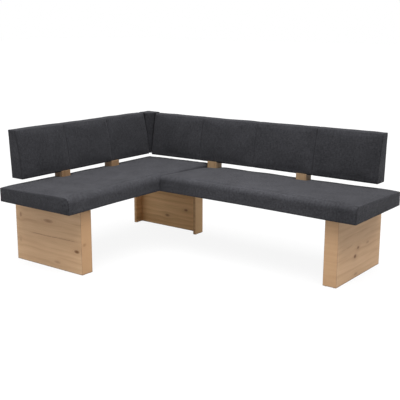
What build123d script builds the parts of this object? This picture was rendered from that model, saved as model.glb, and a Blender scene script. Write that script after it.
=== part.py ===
from build123d import *
from math import sqrt
import os

# A corner bench: two upholstered seats set in an L, padded backs on short wooden posts, a wedge-shaped
# filler between the backs, and three legs that are each a U of mitred boards.
# Millimetres, +Z up. +X runs along the long wing and -Y along the short wing. The origin is on the floor,
# below the middle of the bench's box.

# Seats: both are boxes of rails under a crowned cushion, and the long one butts on the short one's front.
short_seat_length = 1370.0
long_seat_length = 1370.0
seat_depth = 575.0
seat_underside = 400.0
seat_edge_height = 80.0
seat_crown = 14.0
seat_front_fall = 4.0
seat_front_radius = 55.0
seat_joint_radius = 14.0
seat_rear_radius = 12.0
seat_end_draw = 5.0
seat_end_round = 14.0
cover_thickness = 2.0
lining_thickness = 1.0
frame_inset = 8.0
rail_thickness = 18.0
rail_height = 39.0
deck_thickness = 12.0
cross_rail_width = 80.0
middle_rail_setback = 790.0
soft_gap = 0.3

# Legs: mitred boards with an open side, standing on nail-on glides.
board_thickness = 19.0
leg_width = 85.0
leg_rear_reach = 33.0
leg_front_setback = 41.0
left_leg_inset = 131.0
right_leg_inset = 120.0
corner_leg_inset = 44.0
corner_leg_shift = 9.0
cleat_height = 40.0
cleat_width = 45.0
glide_diameter = 16.0
glide_height = 2.0
glide_inset = 16.0

# Backs: they lean, with a square-cut end towards the corner, and are sewn into equal panels.
back_gap = 45.0
back_height = 287.0
back_foot_rear = 32.0
back_foot_front = 70.0
back_top_rear = 45.0
back_top_front = 15.0
back_end_inset = 115.0
short_back_panels = 3
long_back_panels = 4
back_belly = 5.0
back_puff = 4.0
back_seam_depth = 5.0
back_seam_half = 9.0
back_seam_dip = 2.0
back_edge_radius = 9.0
back_end_draw = 4.0
back_end_round = 12.0
back_foam_thickness = 20.0
rear_board_thickness = 12.0
bottom_rail_height = 40.0
top_rail_height = 30.0
rib_thickness = 16.0

# Posts between the seats and the backs, each placed from an end of its seat to the post's middle.
post_size = 70.0
post_bolt_setback = 29.0
short_post_from_outer_end = 462.0
short_post_from_corner_end = 448.0
long_post_from_inner_end = 50.0
long_post_from_outer_end = 625.0

# Corner filler: a wedge as tall as the backs, set a little higher than they are.
corner_rise = 8.0
corner_foot_chamfer = 14.0
corner_top_round = 10.0
corner_core_inset = 11.0

# Fasteners
screw_gap = 0.2
cleat_screw_diameter = 6.0
cleat_screw_grip = 30.0
cleat_screw_inset = 90.0
panel_screw_diameter = 4.0
panel_screw_bite = 12.0
screw_head_height = 3.0
head_to_shank = 1.9
post_bolt_diameter = 8.0
post_bolt_head_height = 5.5
post_bolt_head_diameter = 13.0
washer_diameter = 20.0
washer_thickness = 2.0
insert_wall = 2.0
insert_length = 20.0
joining_plate_length = 60.0
joining_plate_width = 90.0
joining_plate_thickness = 3.0
joining_plate_inset = 150.0
joining_screw_diameter = 4.0
joining_screw_grip = 25.0
corner_screw_diameter = 6.0
corner_screw_bite = 30.0
corner_screw_inset = 30.0

# Worked out from the sizes above
leg_depth = seat_depth + leg_rear_reach - leg_front_setback
seat_edge_top = seat_underside + seat_edge_height
rail_foot = seat_underside + lining_thickness
deck_foot = rail_foot + rail_height
deck_top = deck_foot + deck_thickness
back_foot = seat_edge_top + back_gap
back_top = back_foot + back_height
corner_foot = back_foot + corner_rise
corner_top = back_top + corner_rise
bench_length = seat_depth + long_seat_length
bolt_depth = frame_inset + post_bolt_setback
corner_reach = back_top_rear + (back_foot_rear - back_top_rear) * back_edge_radius / back_height
middle_x = (bench_length - corner_reach) / 2
middle_y = (corner_reach - short_seat_length) / 2
short_back_length = short_seat_length - back_end_inset - back_foot_front
long_back_length = bench_length - back_end_inset - back_foot_front
soft_inset = cover_thickness + soft_gap
back_frame_top = back_top - back_edge_radius - soft_inset - max(back_end_draw, back_seam_dip)

# A wing is drawn along +X with its rear line on the X axis and its front towards -Y, then placed.
# The short wing starts at its free end and is turned, the long wing starts at its seat's inner end.
corner_place = Pos(-middle_x, -middle_y, 0)
short_place = corner_place * Pos(0, -short_seat_length, 0) * Rot(0, 0, 90)
long_place = corner_place * Pos(seat_depth, 0, 0)
short_back_place = short_place * Pos(back_end_inset, 0, 0)
long_back_place = corner_place * Pos(back_foot_front, 0, 0)

pieces = {}


def block(x_range, depth_range, z_range):
    # A box between three pairs of limits, with depth measured from the rear line towards the front.
    x_low, x_high = sorted(x_range)
    depth_low, depth_high = sorted(depth_range)
    z_low, z_high = sorted(z_range)
    corner = Pos(x_low, -depth_high, z_low)
    size = (x_high - x_low, depth_high - depth_low, z_high - z_low)
    return corner * Box(*size, align=(Align.MIN, Align.MIN, Align.MIN))


def upright(x, depth, z_range, diameter):
    # A vertical cylinder.
    z_low, z_high = z_range
    align = (Align.CENTER, Align.CENTER, Align.MIN)
    return Pos(x, -depth, z_low) * Cylinder(diameter / 2, z_high - z_low, align=align)


def lengthwise(x_range, depth, z, diameter):
    # A cylinder along the wing.
    x_low, x_high = sorted(x_range)
    align = (Align.CENTER, Align.CENTER, Align.MIN)
    return Pos(x_low, -depth, z) * Rot(0, 90, 0) * Cylinder(diameter / 2, x_high - x_low, align=align)


def quarter_arc(start, corner, end):
    # The rounding of a corner, from a point on one side to a point on the other.
    centre = Vector(*start) + Vector(*end) - Vector(*corner)
    middle = centre + (Vector(*corner) - centre) / sqrt(2)
    return ThreePointArc(start, middle, end)


def group(solids):
    return Compound(children=[solid.solid() for solid in solids])


def keep(place, name, shape):
    pieces[name] = place * shape


# Seats
def seat_section(x, inset, front_radius, foot):
    # One slice across a seat: upright rear, small rear rounding, crowned top, rounded front.
    rear = inset
    front = seat_depth - inset
    rear_top = seat_edge_top - inset
    front_top = seat_edge_top + seat_crown - seat_front_fall - inset
    crown_start = (-(rear + seat_rear_radius), rear_top)
    crown_end = (-(seat_depth - front_radius), front_top)
    crown_middle = ((crown_start[0] + crown_end[0]) / 2, seat_edge_top + seat_crown - inset)
    fall_end = (-front, front_top - front_radius + inset)
    outline = [
        Line((-rear, foot), (-rear, rear_top - seat_rear_radius)),
        quarter_arc((-rear, rear_top - seat_rear_radius), (-rear, rear_top), crown_start),
        ThreePointArc(crown_start, crown_middle, crown_end),
        quarter_arc(crown_end, (-front, front_top), fall_end),
        Line(fall_end, (-front, foot)),
        Line((-front, foot), (-rear, foot)),
    ]
    return Plane.YZ.offset(x) * make_face(outline)


def seat_form(length, joint_from, inset, foot):
    # The cushion's shape, drawn in at both ends. Past joint_from, where the other seat butts against the
    # front, the front edge is tight.
    sections = [(inset, inset + seat_end_draw, seat_front_radius)]
    sections.append((seat_end_round, inset, seat_front_radius))
    if joint_from < length:
        sections.append((joint_from, inset, seat_front_radius))
        sections.append((joint_from + seat_front_radius, inset, seat_joint_radius))
        end_radius = seat_joint_radius
    else:
        end_radius = seat_front_radius
    sections.append((length - seat_end_round, inset, end_radius))
    sections.append((length - inset, inset + seat_end_draw, end_radius + seat_end_draw))
    slices = [seat_section(x, slice_inset, radius, foot) for x, slice_inset, radius in sections]
    return loft(slices, ruled=True)


def build_seat(name, place, length, end_names, joint_from, posts, cross_rails, screw_holes):
    # A seat from its first end to its last, which have names of their own.
    frame_ends = (frame_inset, length - frame_inset)
    rail_zone = (rail_foot, deck_foot)
    front_rail = (seat_depth - frame_inset - rail_thickness, seat_depth - frame_inset)
    rear_rail = (frame_inset, frame_inset + rail_thickness)
    between = (rear_rail[1], front_rail[0])
    first_end = (frame_inset, frame_inset + rail_thickness)
    last_end = (length - frame_inset - rail_thickness, length - frame_inset)

    pocket_size = post_size / 2 + soft_gap
    pocket_depth = (frame_inset - soft_gap, frame_inset + post_size + soft_gap)
    pocket_top = seat_edge_top + 2 * seat_crown
    pockets = [block((x - pocket_size, x + pocket_size), pocket_depth, (deck_top, pocket_top)) for x in posts]
    frame_depth = (frame_inset, seat_depth - frame_inset)
    frame_space = block(frame_ends, frame_depth, (seat_underside, deck_top))
    deck = block(frame_ends, frame_depth, (deck_foot, deck_top))
    bolt_hole = post_bolt_diameter + 2 * screw_gap
    bolt_holes = [upright(x, bolt_depth, (deck_foot, deck_top), bolt_hole) for x in posts]

    below = seat_underside - lining_thickness
    outside = seat_form(length, joint_from, 0.0, seat_underside)
    inside = seat_form(length, joint_from, cover_thickness, below)
    filling = seat_form(length, joint_from, soft_inset, rail_foot)
    lining_ends = (soft_inset, length - soft_inset)
    lining_depth = (soft_inset + seat_end_draw, seat_depth - soft_inset - seat_end_draw)
    lining = block(lining_ends, lining_depth, (seat_underside, rail_foot))

    keep(place, f"{name}_cover", outside - inside - pockets)
    keep(place, f"{name}_foam", filling - frame_space - pockets)
    keep(place, f"{name}_lining", lining - screw_holes)
    keep(place, f"{name}_deck", deck - bolt_holes)
    keep(place, f"{name}_front_rail", block(frame_ends, front_rail, rail_zone) - screw_holes)
    keep(place, f"{name}_rear_rail", block(frame_ends, rear_rail, rail_zone))
    keep(place, f"{name}_{end_names[0]}_end_rail", block(first_end, between, rail_zone) - screw_holes)
    keep(place, f"{name}_{end_names[1]}_end_rail", block(last_end, between, rail_zone) - screw_holes)
    rails = [block((x, x + cross_rail_width), between, rail_zone) - screw_holes for x in cross_rails]
    keep(place, f"{name}_cross_rails", group(rails))


# Legs
def build_leg(name, place, face, inward, shift):
    # A U of mitred boards in plan. face is where the main panel's outer side stands along the wing, and
    # inward says to which side the U opens.
    rear = -leg_rear_reach - shift
    front = rear + leg_depth
    z_zone = (glide_height, seat_underside)

    def board(corners):
        points = [(face + inward * across, -depth) for across, depth in corners]
        return Pos(0, 0, z_zone[0]) * extrude(make_face(Polyline(*points, close=True)), z_zone[1] - z_zone[0])

    front_inner = front - board_thickness
    rear_inner = rear + board_thickness
    front_mitre = (board_thickness, front_inner)
    rear_mitre = (board_thickness, rear_inner)
    panel = board([(0, rear), (0, front), front_mitre, rear_mitre])
    front_board = board([(0, front), (leg_width, front), (leg_width, front_inner), front_mitre])
    rear_board = board([(0, rear), (leg_width, rear), (leg_width, rear_inner), rear_mitre])

    cleat_across = (face + inward * board_thickness, face + inward * (board_thickness + cleat_width))
    cleat_zone = (seat_underside - cleat_height, seat_underside)
    cleat = block(cleat_across, (rear_inner, front_inner), cleat_zone)
    screw_x = face + inward * (board_thickness + cleat_width / 2)
    screw_places = leg_screw_depths(shift)
    cleat_hole = cleat_screw_diameter + 2 * screw_gap
    panel_hole = panel_screw_diameter + 2 * screw_gap
    for depth in screw_places:
        cleat -= upright(screw_x, depth, cleat_zone, cleat_hole)
    side_z = seat_underside - cleat_height / 2
    panel_tip = face + inward * (board_thickness - panel_screw_bite)
    head_face = face + inward * (board_thickness + cleat_width)
    head_top = head_face + inward * screw_head_height
    for depth in panel_screw_depths(shift):
        cleat -= lengthwise(cleat_across, depth, side_z, panel_hole)
        panel -= lengthwise((panel_tip, face + inward * board_thickness), depth, side_z, panel_hole)
        screw = lengthwise((panel_tip + inward * screw_gap, head_face), depth, side_z, panel_screw_diameter)
        screw += lengthwise((head_face, head_top), depth, side_z, panel_screw_diameter * head_to_shank)
        panel_screws.append(place * screw)

    screw_top = rail_foot + cleat_screw_grip
    for depth in screw_places:
        head_zone = (cleat_zone[0] - screw_head_height, cleat_zone[0])
        screw = upright(screw_x, depth, (cleat_zone[0], screw_top - screw_gap), cleat_screw_diameter)
        screw += upright(screw_x, depth, head_zone, cleat_screw_diameter * head_to_shank)
        cleat_screws.append(place * screw)

    glide_across = (glide_inset, leg_width - glide_inset)
    glide_depths = (rear + board_thickness / 2, front - board_thickness / 2)
    for across in glide_across:
        for depth in glide_depths:
            glide = upright(face + inward * across, depth, (0, glide_height), glide_diameter)
            glides.append(place * glide)

    keep(place, f"{name}_panel", panel)
    keep(place, f"{name}_front_board", front_board)
    keep(place, f"{name}_rear_board", rear_board)
    keep(place, f"{name}_cleat", cleat)


def leg_screw_depths(shift):
    rear = -leg_rear_reach - shift
    return (rear + cleat_screw_inset, rear + leg_depth / 2, rear + leg_depth - cleat_screw_inset)


def panel_screw_depths(shift):
    # Half way between the cleat screws.
    first, middle, last = leg_screw_depths(shift)
    return ((first + middle) / 2, (middle + last) / 2)


def cleat_screw_holes(face, inward, shift):
    # The holes that a leg's screws need in the lining and the cross rail above it.
    x = face + inward * (board_thickness + cleat_width / 2)
    zone = (seat_underside, rail_foot + cleat_screw_grip)
    diameter = cleat_screw_diameter + 2 * screw_gap
    return [upright(x, depth, zone, diameter) for depth in leg_screw_depths(shift)]


# Backs
def back_rear(z):
    # Depth of the back's rear face, negative behind the seat.
    return -back_foot_rear + (back_foot_rear - back_top_rear) * (z - back_foot) / back_height


def back_front(z):
    # Depth of the back's front face, before its belly.
    return back_foot_front + (back_top_front - back_foot_front) * (z - back_foot) / back_height


def back_section(x, inset, puff, dip, foot):
    # One slice across a back, with its front moved out by puff and its top lowered by dip.
    top = back_top - inset - dip
    radius = back_edge_radius
    rear_low = (-(back_rear(foot) + inset), foot)
    rear_high = (-(back_rear(top - radius) + inset), top - radius)
    top_rear_corner = (-(back_rear(top) + inset), top)
    top_rear = (top_rear_corner[0] - radius, top)
    top_front_corner = (-(back_front(top) + puff - inset), top)
    top_front = (top_front_corner[0] + radius, top)
    front_high = (-(back_front(top - radius) + puff - inset), top - radius)
    middle = (back_foot + back_top) / 2
    front_middle = (-(back_front(middle) + back_belly + puff - inset), middle)
    round_top = max(foot, back_foot) + radius
    front_low = (-(back_front(round_top) + puff - inset), round_top)
    foot_corner = (front_low[0], foot)
    foot_front = (front_low[0] + radius, foot)
    outline = [
        Line(rear_low, rear_high),
        quarter_arc(rear_high, top_rear_corner, top_rear),
        Line(top_rear, top_front),
        quarter_arc(top_front, top_front_corner, front_high),
        ThreePointArc(front_high, front_middle, front_low),
    ]
    if foot < back_foot:
        outline.append(Line(front_low, (front_low[0], foot)))
        outline.append(Line((front_low[0], foot), rear_low))
    else:
        outline.append(quarter_arc(front_low, foot_corner, foot_front))
        outline.append(Line(foot_front, rear_low))
    return Plane.YZ.offset(x) * make_face(outline)


def back_form(length, panels, inset, foot):
    # The back's shape: each panel swells between its seams and is drawn in at the seams and the ends.
    panel = length / panels
    slices = [(inset, -back_end_draw, back_end_draw), (back_end_round, 0.0, 0.0)]
    for number in range(panels):
        start = number * panel
        if number > 0:
            slices.append((start, -back_seam_depth, back_seam_dip))
            slices.append((start + back_seam_half, 0.0, 0.0))
        for share, swell in ((0.25, 0.75), (0.5, 1.0), (0.75, 0.75)):
            slices.append((start + share * panel, swell * back_puff, 0.0))
        if number < panels - 1:
            slices.append((start + panel - back_seam_half, 0.0, 0.0))
    slices.append((length - back_end_round, 0.0, 0.0))
    slices.append((length - inset, -back_end_draw, back_end_draw))
    return loft([back_section(x, inset, puff, dip, foot) for x, puff, dip in slices], ruled=True)


def back_slab(x_range, corners):
    # A straight piece of the back's frame, from corners given as depth and height.
    x_low, x_high = x_range
    points = [(-depth, z) for depth, z in corners]
    return extrude(Plane.YZ.offset(x_low) * make_face(Polyline(*points, close=True)), x_high - x_low)


def build_back(name, place, length, panels, posts, corner_end):
    frame_ends = (frame_inset, length - frame_inset)
    foot = back_foot + lining_thickness
    rail_top = foot + bottom_rail_height
    frame_top = back_frame_top
    top_rail_foot = frame_top - top_rail_height

    def board_rear(z):
        return back_rear(z) + soft_inset

    def board_front(z):
        return board_rear(z) + rear_board_thickness

    def foam_rear(z):
        return back_front(z) - back_foam_thickness

    def between(z_low, z_high, rear, front):
        return [(rear(z_low), z_low), (front(z_low), z_low), (front(z_high), z_high), (rear(z_high), z_high)]

    bolt_hole = post_bolt_diameter + 2 * screw_gap
    insert_hole = post_bolt_diameter + 2 * insert_wall + 4 * screw_gap
    bolt_top = foot + bottom_rail_height
    insert_holes = [upright(x, bolt_depth, (foot, bolt_top), insert_hole) for x in posts]
    lining_holes = [upright(x, bolt_depth, (back_foot, foot), bolt_hole) for x in posts]

    outside = back_form(length, panels, 0.0, back_foot)
    inside = back_form(length, panels, cover_thickness, back_foot - lining_thickness)
    filling = back_form(length, panels, soft_inset, foot)

    def behind(z):
        return back_rear(z) - back_foot_rear

    frame_space = back_slab(frame_ends, between(back_foot - lining_thickness, frame_top, behind, foam_rear))
    screw_holes = corner_screw_holes(length, corner_end)
    keep(place, f"{name}_cover", outside - inside - screw_holes)
    keep(place, f"{name}_foam", filling - frame_space - screw_holes)
    rear_board = back_slab(frame_ends, between(foot, frame_top, board_rear, board_front))
    keep(place, f"{name}_rear_board", rear_board)
    bottom_rail = back_slab(frame_ends, between(foot, rail_top, board_front, foam_rear))
    keep(place, f"{name}_bottom_rail", bottom_rail - insert_holes)
    top_rail = back_slab(frame_ends, between(top_rail_foot, frame_top, board_front, foam_rear))
    keep(place, f"{name}_top_rail", top_rail)

    rib_corners = between(rail_top, top_rail_foot, board_front, foam_rear)
    span = frame_ends[1] - frame_ends[0] - rib_thickness
    rib_starts = [frame_ends[0] + span * number / panels for number in range(panels + 1)]
    ribs = [back_slab((start, start + rib_thickness), rib_corners) - screw_holes for start in rib_starts]
    keep(place, f"{name}_ribs", group(ribs))

    lining_front = back_foot_front - back_edge_radius - soft_inset - max(back_end_draw, back_seam_depth)
    lining_ends = (soft_inset, length - soft_inset)
    lining_depth = (-back_foot_rear + soft_inset, lining_front)
    keep(place, f"{name}_lining", block(lining_ends, lining_depth, (back_foot, foot)) - lining_holes)


# Posts, each standing on a seat's deck and holding a back's bottom rail with one long bolt
def build_post(name, place, x):
    sides = (x - post_size / 2, x + post_size / 2)
    hole = post_bolt_diameter + 2 * screw_gap
    post = block(sides, (frame_inset, frame_inset + post_size), (deck_top, back_foot))
    keep(place, name, post - upright(x, bolt_depth, (deck_top, back_foot), hole))

    foot = back_foot + lining_thickness
    washer_zone = (deck_foot - washer_thickness, deck_foot)
    washer = upright(x, bolt_depth, washer_zone, washer_diameter)
    washers.append(place * (washer - upright(x, bolt_depth, washer_zone, hole)))
    head_zone = (washer_zone[0] - post_bolt_head_height, washer_zone[0])
    bolt = upright(x, bolt_depth, (washer_zone[0], foot + insert_length), post_bolt_diameter)
    head = extrude(RegularPolygon(post_bolt_head_diameter / 2, 6, major_radius=False), post_bolt_head_height)
    bolts.append(place * (bolt + Pos(x, -bolt_depth, head_zone[0]) * head))
    insert_outside = post_bolt_diameter + 2 * insert_wall + 2 * screw_gap
    insert = upright(x, bolt_depth, (foot, foot + insert_length), insert_outside)
    inserts.append(place * (insert - upright(x, bolt_depth, (foot, foot + insert_length), hole)))


# Corner filler
def corner_section(z, inset):
    # One slice in plan: a square against both backs with its front corner cut off between them.
    share = (z - corner_foot) / (corner_top - corner_foot)
    rear = -(back_foot_rear + (back_top_rear - back_foot_rear) * share) + inset
    side = back_foot_front - inset
    top_chamfer = back_foot_front - back_top_front
    chamfer = corner_foot_chamfer + (top_chamfer - corner_foot_chamfer) * share
    cut = back_foot_front - chamfer - inset * (sqrt(2) - 1)
    points = [(rear, -rear), (side, -rear), (side, -cut), (cut, -side), (rear, -side)]
    return Plane.XY.offset(z) * make_face(Polyline(*points, close=True))


def corner_form(inset, foot):
    round_start = corner_top - corner_top_round
    sections = [corner_section(foot, inset), corner_section(round_start, inset)]
    sections.append(corner_section(corner_top - inset, inset + corner_top_round / 2))
    return loft(sections, ruled=True)


def corner_screw_heights():
    low = back_foot + lining_thickness + bottom_rail_height + corner_screw_inset
    high = back_frame_top - top_rail_height - corner_screw_inset
    return (low, high)


def corner_screw_depth(z):
    # Middle of the rib at this height.
    board_front = back_rear(z) + soft_inset + rear_board_thickness
    return (board_front + back_front(z) - back_foam_thickness) / 2


def corner_screw_holes(length, corner_end):
    # corner_end is +1 where the back's last end is at the corner and -1 where its first end is.
    if corner_end > 0:
        span = (length - frame_inset - rib_thickness, length)
    else:
        span = (0, frame_inset + rib_thickness)
    hole = corner_screw_diameter + 2 * screw_gap
    return [lengthwise(span, corner_screw_depth(z), z, hole) for z in corner_screw_heights()]


def corner_screw_pair(length, corner_end, hole):
    # The two screws of one back, from inside its end rib into the filler's core, or their holes there.
    screws = []
    for z in corner_screw_heights():
        depth = corner_screw_depth(z)
        if corner_end > 0:
            rib_face = length - frame_inset - rib_thickness
            tip = length + corner_core_inset + corner_screw_bite
            head = (rib_face - screw_head_height, rib_face)
        else:
            rib_face = frame_inset + rib_thickness
            tip = -corner_core_inset - corner_screw_bite
            head = (rib_face, rib_face + screw_head_height)
        if hole:
            screws.append(lengthwise((rib_face, tip), depth, z, corner_screw_diameter + 2 * screw_gap))
        else:
            tip -= corner_end * screw_gap
            screw = lengthwise((rib_face, tip), depth, z, corner_screw_diameter)
            screw += lengthwise(head, depth, z, corner_screw_diameter * head_to_shank)
            screws.append(screw)
    return screws


def build_corner():
    holes = [short_back_place * hole for hole in corner_screw_pair(short_back_length, 1, True)]
    holes += [long_back_place * hole for hole in corner_screw_pair(long_back_length, -1, True)]
    local_holes = [corner_place.inverse() * hole for hole in holes]
    outside = corner_form(0.0, corner_foot)
    inside = corner_form(cover_thickness, corner_foot - lining_thickness)
    filling = corner_form(soft_inset, corner_foot)
    core_top = corner_top - corner_top_round - corner_core_inset
    core = loft([corner_section(z, corner_core_inset) for z in (corner_foot, core_top)], ruled=True)
    keep(corner_place, "corner_cover", outside - inside - local_holes)
    keep(corner_place, "corner_foam", filling - core - local_holes)
    keep(corner_place, "corner_core", core - local_holes)
    screws = [short_back_place * screw for screw in corner_screw_pair(short_back_length, 1, False)]
    screws += [long_back_place * screw for screw in corner_screw_pair(long_back_length, -1, False)]
    pieces["corner_screws"] = group(screws)


# Plates under the joint of the two seats
def joining_screw_spots():
    # Places of the screws from the joint's line and the rear line: into the short seat's front rail and
    # the long seat's first end rail.
    across = frame_inset + rail_thickness / 2
    middles = (joining_plate_inset, seat_depth - joining_plate_inset)
    half = joining_plate_width / 2 - rail_thickness
    depths = [middle + step for middle in middles for step in (-half, half)]
    return [(side * across, depth) for depth in depths for side in (-1, 1)]


def joining_holes(side):
    # Holes in the long seat for side +1, and in the short seat, whose drawing is turned, for side -1.
    zone = (seat_underside, rail_foot + joining_screw_grip)
    hole = joining_screw_diameter + 2 * screw_gap
    spots = [(across, depth) for across, depth in joining_screw_spots() if across * side > 0]
    if side > 0:
        return [upright(across, depth, zone, hole) for across, depth in spots]
    return [upright(short_seat_length - depth, seat_depth + across, zone, hole) for across, depth in spots]


def build_joining_plates():
    plate_zone = (seat_underside - joining_plate_thickness, seat_underside)
    hole = joining_screw_diameter + 2 * screw_gap
    half_length = joining_plate_length / 2
    half_width = joining_plate_width / 2
    plates = []
    for middle in (joining_plate_inset, seat_depth - joining_plate_inset):
        plate = block((-half_length, half_length), (middle - half_width, middle + half_width), plate_zone)
        plate -= [upright(across, depth, plate_zone, hole) for across, depth in joining_screw_spots()]
        plates.append(long_place * plate)
    screws = []
    for across, depth in joining_screw_spots():
        head_zone = (plate_zone[0] - screw_head_height, plate_zone[0])
        screw_top = rail_foot + joining_screw_grip - screw_gap
        screw = upright(across, depth, (plate_zone[0], screw_top), joining_screw_diameter)
        screw += upright(across, depth, head_zone, joining_screw_diameter * head_to_shank)
        screws.append(long_place * screw)
    pieces["joining_plates"] = group(plates)
    pieces["joining_screws"] = group(screws)


glides = []
cleat_screws = []
panel_screws = []
bolts = []
washers = []
inserts = []

# Where the legs' panels stand along each wing, and the cross rails above the legs
left_face = left_leg_inset
corner_face = short_seat_length - corner_leg_inset
right_face = long_seat_length - right_leg_inset
build_leg("left_leg", short_place, left_face, 1, 0.0)
build_leg("corner_leg", short_place, corner_face, -1, corner_leg_shift)
build_leg("right_leg", long_place, right_face, -1, 0.0)

short_posts = (short_post_from_outer_end, short_seat_length - short_post_from_corner_end)
long_posts = (long_post_from_inner_end, long_seat_length - long_post_from_outer_end)
short_leg_holes = cleat_screw_holes(left_face, 1, 0.0) + cleat_screw_holes(corner_face, -1, corner_leg_shift)
long_leg_holes = cleat_screw_holes(right_face, -1, 0.0)
short_holes = short_leg_holes + joining_holes(-1)
long_holes = long_leg_holes + joining_holes(1)
short_rails = (left_face, corner_face - cross_rail_width)
long_rails = (long_seat_length - middle_rail_setback, right_face - cross_rail_width)
short_joint = short_seat_length - seat_depth
short_ends = ("outer", "corner")
long_ends = ("inner", "outer")
no_joint = long_seat_length
short_fittings = (short_posts, short_rails, short_holes)
long_fittings = (long_posts, long_rails, long_holes)
build_seat("short_seat", short_place, short_seat_length, short_ends, short_joint, *short_fittings)
build_seat("long_seat", long_place, long_seat_length, long_ends, no_joint, *long_fittings)

short_back_posts = [x - back_end_inset for x in short_posts]
long_back_posts = [x + seat_depth - back_foot_front for x in long_posts]
build_back("short_back", short_back_place, short_back_length, short_back_panels, short_back_posts, 1)
build_back("long_back", long_back_place, long_back_length, long_back_panels, long_back_posts, -1)

for name, place, x in (
    ("short_back_outer_post", short_place, short_posts[0]),
    ("short_back_inner_post", short_place, short_posts[1]),
    ("long_back_inner_post", long_place, long_posts[0]),
    ("long_back_outer_post", long_place, long_posts[1]),
):
    build_post(name, place, x)

build_corner()
build_joining_plates()
pieces["floor_glides"] = group(glides)
pieces["cleat_screws"] = group(cleat_screws)
pieces["panel_screws"] = group(panel_screws)
pieces["post_bolts"] = group(bolts)
pieces["post_washers"] = group(washers)
pieces["back_inserts"] = group(inserts)

os.makedirs("parts", exist_ok=True)
for name, shape in pieces.items():
    export_step(shape, f"parts/{name}.step")
print(len(pieces), "nodes")
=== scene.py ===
import math

import bpy
import numpy as np
from mathutils import Matrix, Vector


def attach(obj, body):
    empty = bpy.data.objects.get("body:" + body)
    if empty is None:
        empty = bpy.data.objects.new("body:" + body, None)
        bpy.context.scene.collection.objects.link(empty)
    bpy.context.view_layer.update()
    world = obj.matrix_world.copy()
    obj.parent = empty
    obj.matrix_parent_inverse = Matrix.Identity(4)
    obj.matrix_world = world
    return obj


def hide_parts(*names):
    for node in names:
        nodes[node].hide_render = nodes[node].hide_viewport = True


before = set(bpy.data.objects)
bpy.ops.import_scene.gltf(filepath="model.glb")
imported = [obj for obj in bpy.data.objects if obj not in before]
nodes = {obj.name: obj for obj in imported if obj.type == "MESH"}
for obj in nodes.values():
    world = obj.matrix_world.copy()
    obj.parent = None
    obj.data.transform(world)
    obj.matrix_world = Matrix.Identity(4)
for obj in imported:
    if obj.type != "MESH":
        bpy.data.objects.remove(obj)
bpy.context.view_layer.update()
print("frame loaded:", len(nodes), "CAD nodes")

# the two wings meet where their rear lines cross
bench = {
    "cornerX": -0.950204,  # rear line of the short wing
    "cornerY": 0.662704,  # rear line of the long wing
    "seatLength": 1.370,
    "seatDepth": 0.575,
}


def together(*parts):
    return np.stack(np.broadcast_arrays(*parts), -1)


# a wing's own axes: along it, depth from its rear line towards the sitter, height
def onShortWing(along, depth, height):  # along starts at the free end
    return together(bench["cornerX"] + depth, bench["cornerY"] - bench["seatLength"] + along, height)


def onLongWing(along, depth, height):  # along starts at the short seat's front
    return together(bench["cornerX"] + bench["seatDepth"] + along, bench["cornerY"] - depth, height)


def inCorner(height, acrossLong, acrossShort):  # distances from the two rear lines
    return together(bench["cornerX"] + acrossLong, bench["cornerY"] - acrossShort, height)


def toScene(name, data):
    made = bpy.data.objects.new(name, data)
    bpy.context.scene.collection.objects.link(made)
    return made


# camera, fitted to the photo
view = {
    "place": (2.7238, -3.6163, 1.471),
    "yaw": 126.84,
    "pitch": -13.18,
    "roll": 0.20,
    "lens": 69.46,
    "sensor": 36.0,
}


def setCamera():
    yaw, pitch, roll = (math.radians(view[key]) for key in ("yaw", "pitch", "roll"))
    ahead = Vector((math.cos(pitch) * math.cos(yaw), math.cos(pitch) * math.sin(yaw), math.sin(pitch)))
    side = ahead.cross(Vector((0, 0, 1))).normalized()
    above = side.cross(ahead)
    right = side * math.cos(roll) + above * math.sin(roll)
    up = above * math.cos(roll) - side * math.sin(roll)
    turn = Matrix((right, up, -ahead)).transposed().to_4x4()
    lensData = bpy.data.cameras.new("camera")
    lensData.lens, lensData.sensor_width = view["lens"], view["sensor"]
    camera = toScene("camera", lensData)
    camera.matrix_world = Matrix.Translation(view["place"]) @ turn
    bpy.context.scene.camera = camera


setCamera()
bpy.context.scene.view_settings.view_transform = "Standard"
print("camera set")


# shader maths: a socket that takes part in expressions, each operator adding one Math node
class Wire:
    def __init__(self, paint, socket):
        self.paint = paint
        self.socket = socket

    def maths(self, operation, first, second=0.0):
        return self.paint.node("ShaderNodeMath", {"operation": operation}, {0: first, 1: second})

    def __neg__(self):
        return self.maths("MULTIPLY", self, -1.0)

    def __abs__(self):
        return self.maths("ABSOLUTE", self)

    def sine(self):
        return self.maths("SINE", self)

    def decay(self):  # e to the minus value
        return self.maths("EXPONENT", -self)

    def hill(self):  # e to the minus square
        return (self * self).decay()

    def least(self, other):
        return self.maths("MINIMUM", self, other)

    def step(self, low, high):  # 0 below low, 1 above high, smooth between
        values = {"Value": self, "From Min": low, "From Max": high}
        return self.paint.node("ShaderNodeMapRange", {"interpolation_type": "SMOOTHSTEP"}, values)


def overload(sign, operation):  # an operator and its reflected form
    setattr(Wire, "__%s__" % sign, lambda wire, other: wire.maths(operation, wire, other))
    setattr(Wire, "__r%s__" % sign, lambda wire, other: wire.maths(operation, other, wire))


overload("add", "ADD")
overload("sub", "SUBTRACT")
overload("mul", "MULTIPLY")
overload("truediv", "DIVIDE")
overload("pow", "POWER")


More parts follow.
